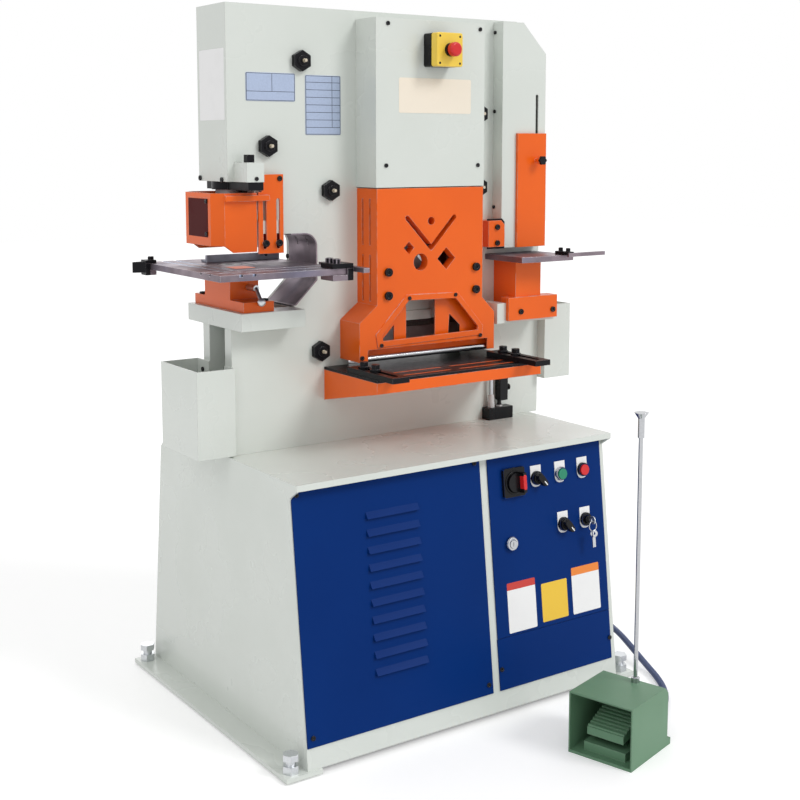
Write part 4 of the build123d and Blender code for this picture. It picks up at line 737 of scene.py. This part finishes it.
door = {
    "switchAt": (141, 504.5), "selectors": {"left_selector": (208, 504.5), "lower_selector": (279, 390.5)},
    "start": (279, 504.5), "stop": (346, 504.5), "key": (346, 390.5), "lock": (126, 371.5),
    # blank legend plates: half width, half height, rise over the button, thickness and corner
    "legend": (15.3, 24, 4, 1.3, 13),
    # rings: outer radius, hole for a button, hole for a key, height, and how far the face ring stands off
    "ring": 15.4, "button": 12.4, "barrel": 9.2, "ringTop": 8.2, "ringSeat": 1.2,
}
selector = {
    "turn": 40, "seat": 8.3, "base": [(0, 0), (13.6, 0), (13.6, 4), (12.4, 5.4), (0, 5.4)],
    "reach": 21, "half": 9, "tip": 6.2, "lever": (3, 16.4), "mark": ((-1.3, 1.3), (8, 20), (16.2, 16.7), 0.8),
}
keys = {
    "plug": [(0, 5.1), (8.4, 5.1), (8.4, 16.4), (7.6, 17.3), (0, 17.3)], "hang": 29.3,
    "bow": [(3, -1.2), (9.5, -1.2), (9.5, 1.2), (3, 1.2)], "shank": ((-21, -16.8), 3.5, (-1.1, 1.1)),
    "ring": 11, "wire": 1.2, "ringDrop": 13.5,
    # spare keys: how far each is turned and shifted, and their drop below the plug
    "spares": [(25, -2.5), (-50, 2.5)], "spareDrop": 31,
    "spareBow": [(3, -1), (8.2, -1), (8.2, 1), (3, 1)],
    "spareShank": ((-2.6, 2.6), (-31, -7.8), (-0.9, 0.9)), "spareBit": ((2.6, 4.2), (-29, -18), (-0.6, 0.6)),
}
mainSwitch = {
    "half": (30.4, 32.4), "corner": 5, "thick": 8.2, "collar": [(22, 8), (27, 8), (26, 10.5), (22.4, 10.5)],
    "grip": ((8.7, 18.3), (-17, 17), (15.2, 28.8), 4.5),
}
doorFields = {
    "thick": 0.25, "corner": 3,
    "white": [((107, 187), (176, 270)), ((295, 379), (180, 268))],
    # name, colour, width, height and which corners are round
    "coloured": [("redField", "red", (107, 187), (270, 286), (0, 0, 1, 1)),
                 ("orangeField", "orange", (295, 379), (268, 286), (0, 0, 1, 1)),
                 ("yellowField", "yellow", (204, 280), (181, 267), (1, 1, 1, 1))],
}


def makeLegends():
    form = Form(leaning)
    half, tall, rise, thick, corner = door["legend"]
    for x, z in (*door["selectors"].values(), door["start"], door["stop"], door["key"]):
        v = upLean(z) + rise
        form.rounded((x - half, x + half), (v - tall, v + tall), (doorFace, doorFace + thick), corner,
                     (1, 1, 0, 0))
    form.piece("legendPlates", "control_door", "panel_paint", 0.3, blank["white"])


def makeRings():
    top, seat, outer = doorFace + door["ringTop"], doorFace + door["ringSeat"], door["ring"]
    black = Form(leaning)
    for x, z in door["selectors"].values():
        black.turned([(0, doorFace), (outer, doorFace), (outer, top - 1.2), (outer - 1.2, top), (0, top)],
                     (x, upLean(z)))
    for (x, z), hole in ((door["stop"], door["button"]), (door["key"], door["barrel"])):
        black.turned([(hole, seat), (outer, seat), (outer, top - 1.2), (outer - 1.5, top + 0.3),
                      (hole + 0.6, top + 0.3), (hole, top - 0.5)], (x, upLean(z)))
    black.piece("controlRings", "control_door", "black_plastic", 0)
    bright = Form(leaning)
    for (x, z), hole in ((door["start"], door["button"]), (door["lock"], door["barrel"])):
        bright.turned([(hole, seat), (outer, seat), (outer, top - 1.5), (outer - 2, top + 0.4),
                       (hole + 0.8, top + 0.4), (hole, top - 0.8)], (x, upLean(z)))
    bright.piece("chromeRings", "control_door", "chromed", 0)


def makeSelectors():
    turn = Matrix.Rotation(math.radians(180 + selector["turn"]), 4, "Z")
    long, half, tip = selector["reach"], selector["half"], selector["tip"]
    for body, (x, z) in door["selectors"].items():
        place = leaning @ Matrix.Translation((x, upLean(z), doorFace + selector["seat"])) @ turn
        knob = Form(place)
        knob.turned(selector["base"])
        lever = [(-tip, long - 3), (-tip + 3, long), (tip - 3, long), (tip, long - 3), (half - 1, 0),
                 (half - 2.5, -9), (half - 5, -12), (5 - half, -12), (2.5 - half, -9), (1 - half, 0)]
        knob.plate(lever, *selector["lever"])
        knob = knob.piece(body + "Knob", body, "black_plastic", 1.1)
        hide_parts(body)
        mark = Form(place)
        mark.rounded(*selector["mark"])
        mark.piece(body + "Pointer", body, "frame_paint", 0, blank["white"])


def makeKeys():
    # the plug, the key in it, its ring and two spares
    x, z = door["key"]
    v, hang, across = upLean(z), keys["hang"], Vector((1, 0, 0))
    plug = Form(leaning)
    plug.turned(keys["plug"], (x, v))
    plug = plug.piece("keyPlug", "switch_key", "black_plastic", 0)
    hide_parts("switch_key")
    cut = Form(facing(leanFoot, across, leanUp) @ Matrix.Translation((0, 0, x)))
    cut.turned(keys["bow"], (-hang, v), 28)
    u, half, w = keys["shank"]
    cut.box(u, (v - half, v + half), w)
    radius, thin = keys["ring"], keys["wire"]
    eighths = [math.pi * k / 4 for k in range(8)]
    section = [(radius + thin * math.cos(a), hang + thin * math.sin(a)) for a in eighths]
    ring = Form(leaning)
    ring.turned(section, (x, v - keys["ringDrop"]), 36)
    ring.piece("keyRing", "switch_key", "zinc", 0, finishes["chromed"])
    for turn, shift in keys["spares"]:
        way = across * math.cos(math.radians(turn)) + Vector(leanOut) * math.sin(math.radians(turn))
        cut.place = facing(leanFoot, way, leanUp)
        cut.place.translation = leaning @ Vector((x + shift, v - keys["spareDrop"], hang))
        cut.turned(keys["spareBow"], (0, 0), 24)
        cut.box(*keys["spareShank"])
        cut.box(*keys["spareBit"])
    cut.piece("keySet", "switch_key", "zinc", 0.3)


def makeMainSwitch():
    (x, z), (wide, tall) = door["switchAt"], mainSwitch["half"]
    v = upLean(z)
    plate = Form(leaning)
    plate.rounded((x - wide, x + wide), (v - tall, v + tall), (doorFace, doorFace + mainSwitch["thick"]),
                  mainSwitch["corner"])
    plate.turned([(radius, doorFace + w) for radius, w in mainSwitch["collar"]], (x, v))
    plate.piece("mainSwitchPlate", "control_door", "black_plastic", 1.2)
    (u0, u1), (v0, v1), (w0, w1), corner = mainSwitch["grip"]
    grip = Form(leaning)
    grip.rounded((x + u0, x + u1), (v + v0, v + v1), (doorFace + w0, doorFace + w1), corner)
    grip.piece("mainSwitchGrip", "main_switch_handle", "red_plastic", 1.4)


def makeDoorFields():
    thick, corner = (doorFace, doorFace + doorFields["thick"]), doorFields["corner"]
    white = Form(leaning)
    for u, heights in doorFields["white"]:
        white.rounded(u, upLeans(*heights), thick, corner, (1, 1, 0, 0))
    white.piece("lowerFields", "control_door", "panel_paint", 0, blank["white"])
    for name, colour, u, heights, corners in doorFields["coloured"]:
        field = Form(leaning)
        field.rounded(u, upLeans(*heights), thick, corner, corners)
        field.piece(name, "control_door", "panel_paint", 0, blank[colour])


makeLegends()
makeRings()
makeSelectors()
makeMainSwitch()
makeKeys()
makeDoorFields()
print("stage: door controls")


# blank plates on the frame and the covers

plates = {
    "thick": 1.0, "corner": 3, "margin": 1.5, "line": 0.5, "across": 0.15, "down": 0.16, "film": 0.3,
    # each etched plate: width, height, the heights of its lines and the places of its columns
    "etched": [((-362, -244), (1334, 1393), (1354,), (-300,)),
               ((-219, -130), (1264, 1391), tuple(range(1280, 1377, 16)), (-152,))],
    "cover": ((-30, 167), (1312, 1388), 4), "side": (-407, (-84, 31), (1294, 1441), 3),
}


def makeBlankPlates():
    front = standing(frontFace)
    thick, margin, line = plates["thick"], plates["margin"], plates["line"]
    across, down = (thick, thick + plates["across"]), (thick, thick + plates["down"])
    metal, lines = Form(front), Form(front)
    for u, v, acrosses, downs in plates["etched"]:
        metal.rounded(u, v, (0, thick), plates["corner"])
        for at in (v[0] + margin, *acrosses, v[1] - margin):
            lines.box((u[0] + margin, u[1] - margin), (at - line, at + line), across)
        for at in (u[0] + margin, *downs, u[1] - margin):
            bottom = acrosses[0] if at in downs else v[0] + margin
            lines.box((at - line, at + line), (bottom, v[1] - margin), down)
    metal.piece("etchedPlates", "machine", "frame_paint", 0.2, blank["etched"])
    lines.piece("plateLines", "machine", "frame_paint", 0, blank["inkAndShade"])
    u, v, corner = plates["cover"]
    cover = Form(standing(guardFront))
    cover.rounded(u, v, (0, plates["film"]), corner)
    cover.piece("coverField", "machine", "frame_paint", 0, blank["cream"])
    x, u, v, corner = plates["side"]
    side = Form(leftward(x))
    side.rounded(u, v, (0, plates["film"]), corner)
    side.piece("sideField", "machine", "frame_paint", 0, blank["white"])


makeBlankPlates()


# emergency stop box

stopBox = {
    "x": (36, 106), "z": (1412, 1485), "centre": (71, 1448), "corner": 5,
    "depth": 50, "split": 27, "gap": 0.8,
    # collar and screws: radius, and height from the front
    "collar": [(9.5, -2), (15, -2), (14, 5.6), (9.5, 5.6)],
    "screw": [(0, -0.5), (3, -0.5), (2.6, 0.5), (0, 0.5)], "screwsAt": (27, 29),
}


def makeStopBox():
    place = standing(guardFront)
    (cu, cv), (du, dv), depth = stopBox["centre"], stopBox["screwsAt"], stopBox["depth"]
    rear = Form(place)
    rear.rounded(stopBox["x"], stopBox["z"], (0, stopBox["split"]), stopBox["corner"])
    rear.turned([(radius, depth + w) for radius, w in stopBox["collar"]], (cu, cv))
    screw = [(radius, depth + w) for radius, w in stopBox["screw"]]
    for u in (cu - du, cu + du):
        for v in (cv - dv, cv + dv):
            rear.turned(screw, (u, v), 12)
    rear = rear.piece("stopBoxRear", "machine", "black_plastic", 1.0)
    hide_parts("estop_box")
    front = Form(place)
    front.rounded(stopBox["x"], stopBox["z"], (stopBox["split"] + stopBox["gap"], depth), stopBox["corner"])
    front.piece("stopBoxFront", "machine", "yellow_plastic", 2.0)


makeStopBox()


# square bolt on the head, a dark pane at the stripper's side, and a dark sheet of painted shade at its back

stripper = {
    "bolt": (1206, (-379.4, -362.6), (-75.2, -58.3), (0.2, 16.4)),
    "pane": (-444, (-72, 19), (1051, 1131), (-1, 0.5)),
    "shade": (-51, (-340, -288), (1016, 1056), (-0.6, -0.1)),
}


def makeStripperTrim():
    z, *sides = stripper["bolt"]
    boxed(lying(z), sides, "headBolt", "machine", "black_steel", 1.0)
    x, *sides = stripper["pane"]
    boxed(leftward(x), sides, "stripperPane", "stripper", "guard_paint", 0.2, blank["darkRed"])
    y, *sides = stripper["shade"]
    # a dark red sheet of painted shade at the stripper's back
    boxed(standing(y), sides, "stripperShade", "stripper", "guard_paint", 0, blank["darkRed"])


makeStripperTrim()


# rulers let into the punch table, with cut ticks

rulers = {
    "width": 7, "sunk": (-5, -0.2), "pitch": 5, "inset": 4, "aside": 1.2, "tickDrop": 0.15,
    "tick": (0.5, 3.6, 0.2),    # width, length and height
    "lines": [((-460, -190), (0, 1), 360), ((-430, -190), (0, 1), 360), ((-500, -150), (1, 0), 280),
              ((-500, -110), (1, 0), 280)],
}
tableMarks = {
    # the window before the die, the slots beside it, and the seam round the die
    "seams": [((-414, -362), (-80, -26), 0.25, 3), ((-338, -334), (-20, 84), 0.25, 2),
              ((-360, -306), (84, 88), 0.25, 2), ((-310, -306), (20, 86), 0.3, 2)],
    "die": ([(25.2, 0), (27.4, 0), (27.4, 0.3), (25.2, 0.3)], (-371, 27.5), 48),
    "window": ((-412, -364), (-78, -28), (0.1, 0.5), 2),
}


def rulerTree(sizes):
    tree, into, out = newTree("rulerTicks", sizes)
    even = wire(tree, "GeometryNodeResampleCurve", {"mode": "LENGTH"},
                {"Curve": into.outputs["Geometry"], "Length": into.outputs["Pitch"]})
    size = wire(tree, "ShaderNodeCombineXYZ", {}, {"X": into.outputs["Length"], "Y": into.outputs["Height"],
                                                   "Z": into.outputs["Width"]})
    tick = wire(tree, "GeometryNodeMeshCube", {}, {"Size": size})
    # each tick's width lies along the line and its height stays upright
    along = wire(tree, "GeometryNodeInputTangent")
    turn = wire(tree, "FunctionNodeAlignRotationToVector", {"axis": "Z"}, {"Vector": along})
    flat = wire(tree, "FunctionNodeAlignRotationToVector", {"axis": "Y", "pivot_axis": "Z"},
                {"Rotation": turn, "Vector": (0, 0, 1)})
    return scatter(tree, into, out, {"Points": even, "Instance": tick, "Rotation": flat})


def makeRulers():
    strips = Form(lying(tableTop))
    curve = bpy.data.curves.new("rulerLines", "CURVE")
    curve.dimensions = "3D"
    half, end, aside = rulers["width"] / 2, rulers["inset"], rulers["aside"]
    height = tableTop - rulers["tickDrop"]
    for (x, y), (dx, dy), length in rulers["lines"]:
        strips.box((x - half * dy, x + length * dx + half * dy), (y - half * dx, y + length * dy + half * dx),
                   rulers["sunk"])
        spline = curve.splines.new("POLY")
        spline.points.add(1)
        for point, run in zip(spline.points, (end, length - end)):
            point.co = ((x + run * dx + aside * dy) * mm, (y + run * dy + aside * dx) * mm, height * mm, 1)
    strips.piece("rulerStrips", "machine", "table_steel", 0.2, blank["etched"])
    width, length, height = rulers["tick"]
    sizes = {"Pitch": rulers["pitch"] * mm, "Width": width * mm, "Length": length * mm, "Height": height * mm}
    grown("rulerTicks", curve, rulerTree(sizes), sizes, finishes["black_steel"], "machine")


def makeTableInset():
    # the orange window before the die, in a dark seam, and the slots beside it
    top = lying(tableTop)
    seams = Form(top)
    for u, v, thick, corner in tableMarks["seams"]:
        seams.rounded(u, v, (0, thick), corner)
    seams.turned(*tableMarks["die"])
    seams.piece("tableSeams", "machine", "table_steel", 0, blank["inkAndShade"])
    window = Form(top)
    window.rounded(*tableMarks["window"])
    window.piece("tableInset", "machine", "guard_paint", 0)


makeRulers()
makeTableInset()


# rear of the cabinet: a screwed panel with vent slots, drawn as dark marks of painted shade

rearPanel = {
    "half": 370, "z": (70, 545), "thick": 1.6, "corner": 10,
    "slot": (120, 7, 1.75), "pitch": 24, "rows": 8, "columns": (-190, 190), "first": 330,
    "screwsAt": (-358, 0, 358), "screwInset": 12,
    "screw": [(0, 1.6), (5, 1.6), (5, 3.2), (4.2, 4), (2.4, 4), (2.4, 2.6), (0, 2.6)],
}


def makeRearPanel():
    place = facing((0, lean["back"], lean["foot"]), (0, -leanOut[1], leanOut[2]), (0, -leanUp[1], leanUp[2]))
    half, (low, high), thick = rearPanel["half"], rearPanel["z"], rearPanel["thick"]
    inset = rearPanel["screwInset"]
    panel = Form(place)
    panel.rounded((-half, half), upLeans(low, high), (0, thick), rearPanel["corner"])
    panel.piece("rearPanel", "machine", "frame_paint", 0.5)
    long, tall, face = rearPanel["slot"]
    # the vent slots are dark marks on the panel: painted shade for the openings
    ventShade = Form(place)
    for column in rearPanel["columns"]:
        for row in range(rearPanel["rows"]):
            v = rearPanel["first"] + row * rearPanel["pitch"]
            ventShade.rounded((column - long / 2, column + long / 2), (v, v + tall), (thick, face),
                          tall / 2 - 0.1)
    ventShade.piece("rearVentShade", "machine", "frame_paint", 0, blank["inkAndShade"])
    heads = Form(place)
    for u in rearPanel["screwsAt"]:
        for v in upLeans(low + inset, high - inset):
            heads.turned(rearPanel["screw"], (u, v), 20)
    heads.piece("rearPanelScrews", "machine", "black_steel", 0)


makeRearPanel()


# black clamps on the tables, orange strips in the support table's slots, a dark sheet of painted shade behind
# the guard's side slots

clamps = {
    # boxes by x, y and z; screws by profile of (radius, z), places and sides
    "right": {"piece": "rightStopClamp", "body": "right_stop", "bevel": 0.8,
              "boxes": [((-250.3, -200.7), (-200.3, -149.7), (988.2, 998.6)),
                        ((-214.6, -200.7), (-200.3, -149.7), (962.8, 988.2))],
              "screw": ([(0, 998.4), (8.6, 998.4), (8.6, 1007.4), (7.4, 1008.6),
                         (4.2, 1008.6), (4.2, 1004), (0, 1004)],
                        [(-236, -190), (-236, -162)], 24)},
    "left": {"piece": "leftStopClamp", "body": "left_stop", "bevel": 0.8,
             "boxes": [((-516.3, -491.7), (136.7, 163.3), (988.2, 995.6)),
                       ((-516.3, -506.2), (136.7, 163.3), (962.8, 988.2))],
             "screw": ([(0, 995.4), (7.2, 995.4), (7.2, 1002), (6.2, 1002.8), (0, 1002.8)], [(-499, 150)], 6),
             "pointer": ([(-542.3, 150), (-516, 140.6), (-516, 159.4)], 968.7, 992.1)},
    "notch": {"piece": "notchClamp", "body": "machine", "bevel": 0.6,
              "boxes": [((397.7, 416.3), (-196.3, -149.7), (985.1, 993.6))],
              "screw": ([(0, 993.4), (5.4, 993.4), (5.4, 1001), (4.6, 1001.8),
                         (2.8, 1001.8), (2.8, 998.6), (0, 998.6)],
                        [(407, -186), (407, -160)], 20)},
}
strips = {"rows": (25, 62), "x": [(-105, 35), (57, 222)], "clear": 0.2, "half": 4.2, "corner": 4.1,
          "z": (749.1, 754.5)}
slotShade = (-84, (55, 100), (896, 1128), (-0.8, -0.2))


def makeClamps():
    level = lying(0)
    for clamp in clamps.values():
        form = Form(level)
        for sides in clamp["boxes"]:
            form.box(*sides)
        profile, places, around = clamp["screw"]
        for at in places:
            form.turned(profile, at, around)
        if "pointer" in clamp:
            form.plate(*clamp["pointer"])
        form.piece(clamp["piece"], clamp["body"], "black_steel", clamp["bevel"])
    filled = Form(level)
    front, clear, half = reach("shear_support_top")[0][1], strips["clear"], strips["half"]
    for y in (front + row for row in strips["rows"]):
        for x0, x1 in strips["x"]:
            filled.rounded((x0 + clear, x1 - clear), (y - half, y + half), strips["z"], strips["corner"])
    filled.piece("supportStrips", "machine", "guard_paint", 0)


def makeSlotShade():
    x, *sides = slotShade
    # a dark sheet of painted shade behind the guard's side slots
    boxed(leftward(x), sides, "guardSlotShade", "machine", "black_steel", 0, blank["inkAndShade"])


makeClamps()
makeSlotShade()
print("stage: plates, stop box, stripper and rulers")


# limit switch at the foot of the frame

limitSwitch = {
    # all from the deck up, in front of the frame plate; profiles are of (radius, height)
    "deep": 28, "foot": ((269, 343), (0, 29)), "tower": ((306, 330), 10, (44, 106)),
    "neck": ([(0, 29), (7, 29), (7, 34), (5, 36), (5, 45), (0, 45)], 311, 20),
    "sleeves": [([(0, 29), (8.5, 29), (8.5, 42), (7.2, 43), (7.2, 58), (6, 60), (0, 60)], 286, 24),
                ([(0, 29), (8.5, 29), (8.5, 33), (0, 33)], 311, 6)],
    "rod": ([(0, 59), (5, 59), (5, 146), (4, 147), (0, 147)], 286, 20),
    "knob": ([(0, -2), (3, -2), (3, 4), (8, 4), (8, 9), (6, 10), (0, 10)], 331, 74, 8),
}


def makeLimitSwitch():
    place = lying(deckTop)
    middle = frontFace - limitSwitch["deep"] / 2
    base, sleeves, rod = Form(place), Form(place), Form(place)
    u, w = limitSwitch["foot"]
    base.box(u, (frontFace - limitSwitch["deep"], frontFace), w)
    u, half, w = limitSwitch["tower"]
    base.box(u, (middle - half, middle + half), w)
    turned = [(base, limitSwitch["neck"]), *[(sleeves, sleeve) for sleeve in limitSwitch["sleeves"]],
              (rod, limitSwitch["rod"])]
    for form, (profile, x, around) in turned:
        form.turned(profile, (x, middle), around)
    base = base.piece("limitSwitchBody", "machine", "black_plastic", 1.2)
    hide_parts("limit_switch")
    sleeves.piece("limitSwitchSleeves", "machine", "chromed", 0.4, blank["clear"])
    rod.piece("limitSwitchRod", "machine", "chromed", 0)
    profile, x, rise, around = limitSwitch["knob"]
    knob = Form(facing((x, middle, deckTop + rise), (1, 0, 0)))
    knob.turned(profile, (0, 0), around)
    knob.piece("limitSwitchKnob", "machine", "black_plastic", 0.5)


makeLimitSwitch()


# notcher: star knob on the cover and black plate behind the bracket

notcher = {
    "knob": (396, 1206), "sunk": 1, "thick": 7, "radius": 10.4, "wave": 1.1, "points": 6, "steps": 36,
    "plate": ([(252, 999), (304, 999), (304, 1062), (296, 1070), (252, 1070)], 0.15, 2.2),
}


def makeNotcherTrim():
    x, z = notcher["knob"]
    coverFront = reach("notch_cover")[0][1]
    knob = Form(facing((x, coverFront + notcher["sunk"], z), (0, -1, 0)))
    star = []
    for step in range(notcher["steps"]):
        angle = 2 * math.pi * step / notcher["steps"]
        radius = notcher["radius"] + notcher["wave"] * math.cos(notcher["points"] * angle)
        star.append((radius * math.cos(angle), radius * math.sin(angle)))
    knob.plate(star, 0, notcher["thick"])
    knob.piece("coverKnob", "notch_cover", "black_plastic", 1.4)
    plate = Form(standing(notchFront))
    plate.plate(*notcher["plate"])
    plate.piece("bracketPlate", "machine", "black_steel", 0.4)


makeNotcherTrim()
print("stage: limit switch and notcher trim")
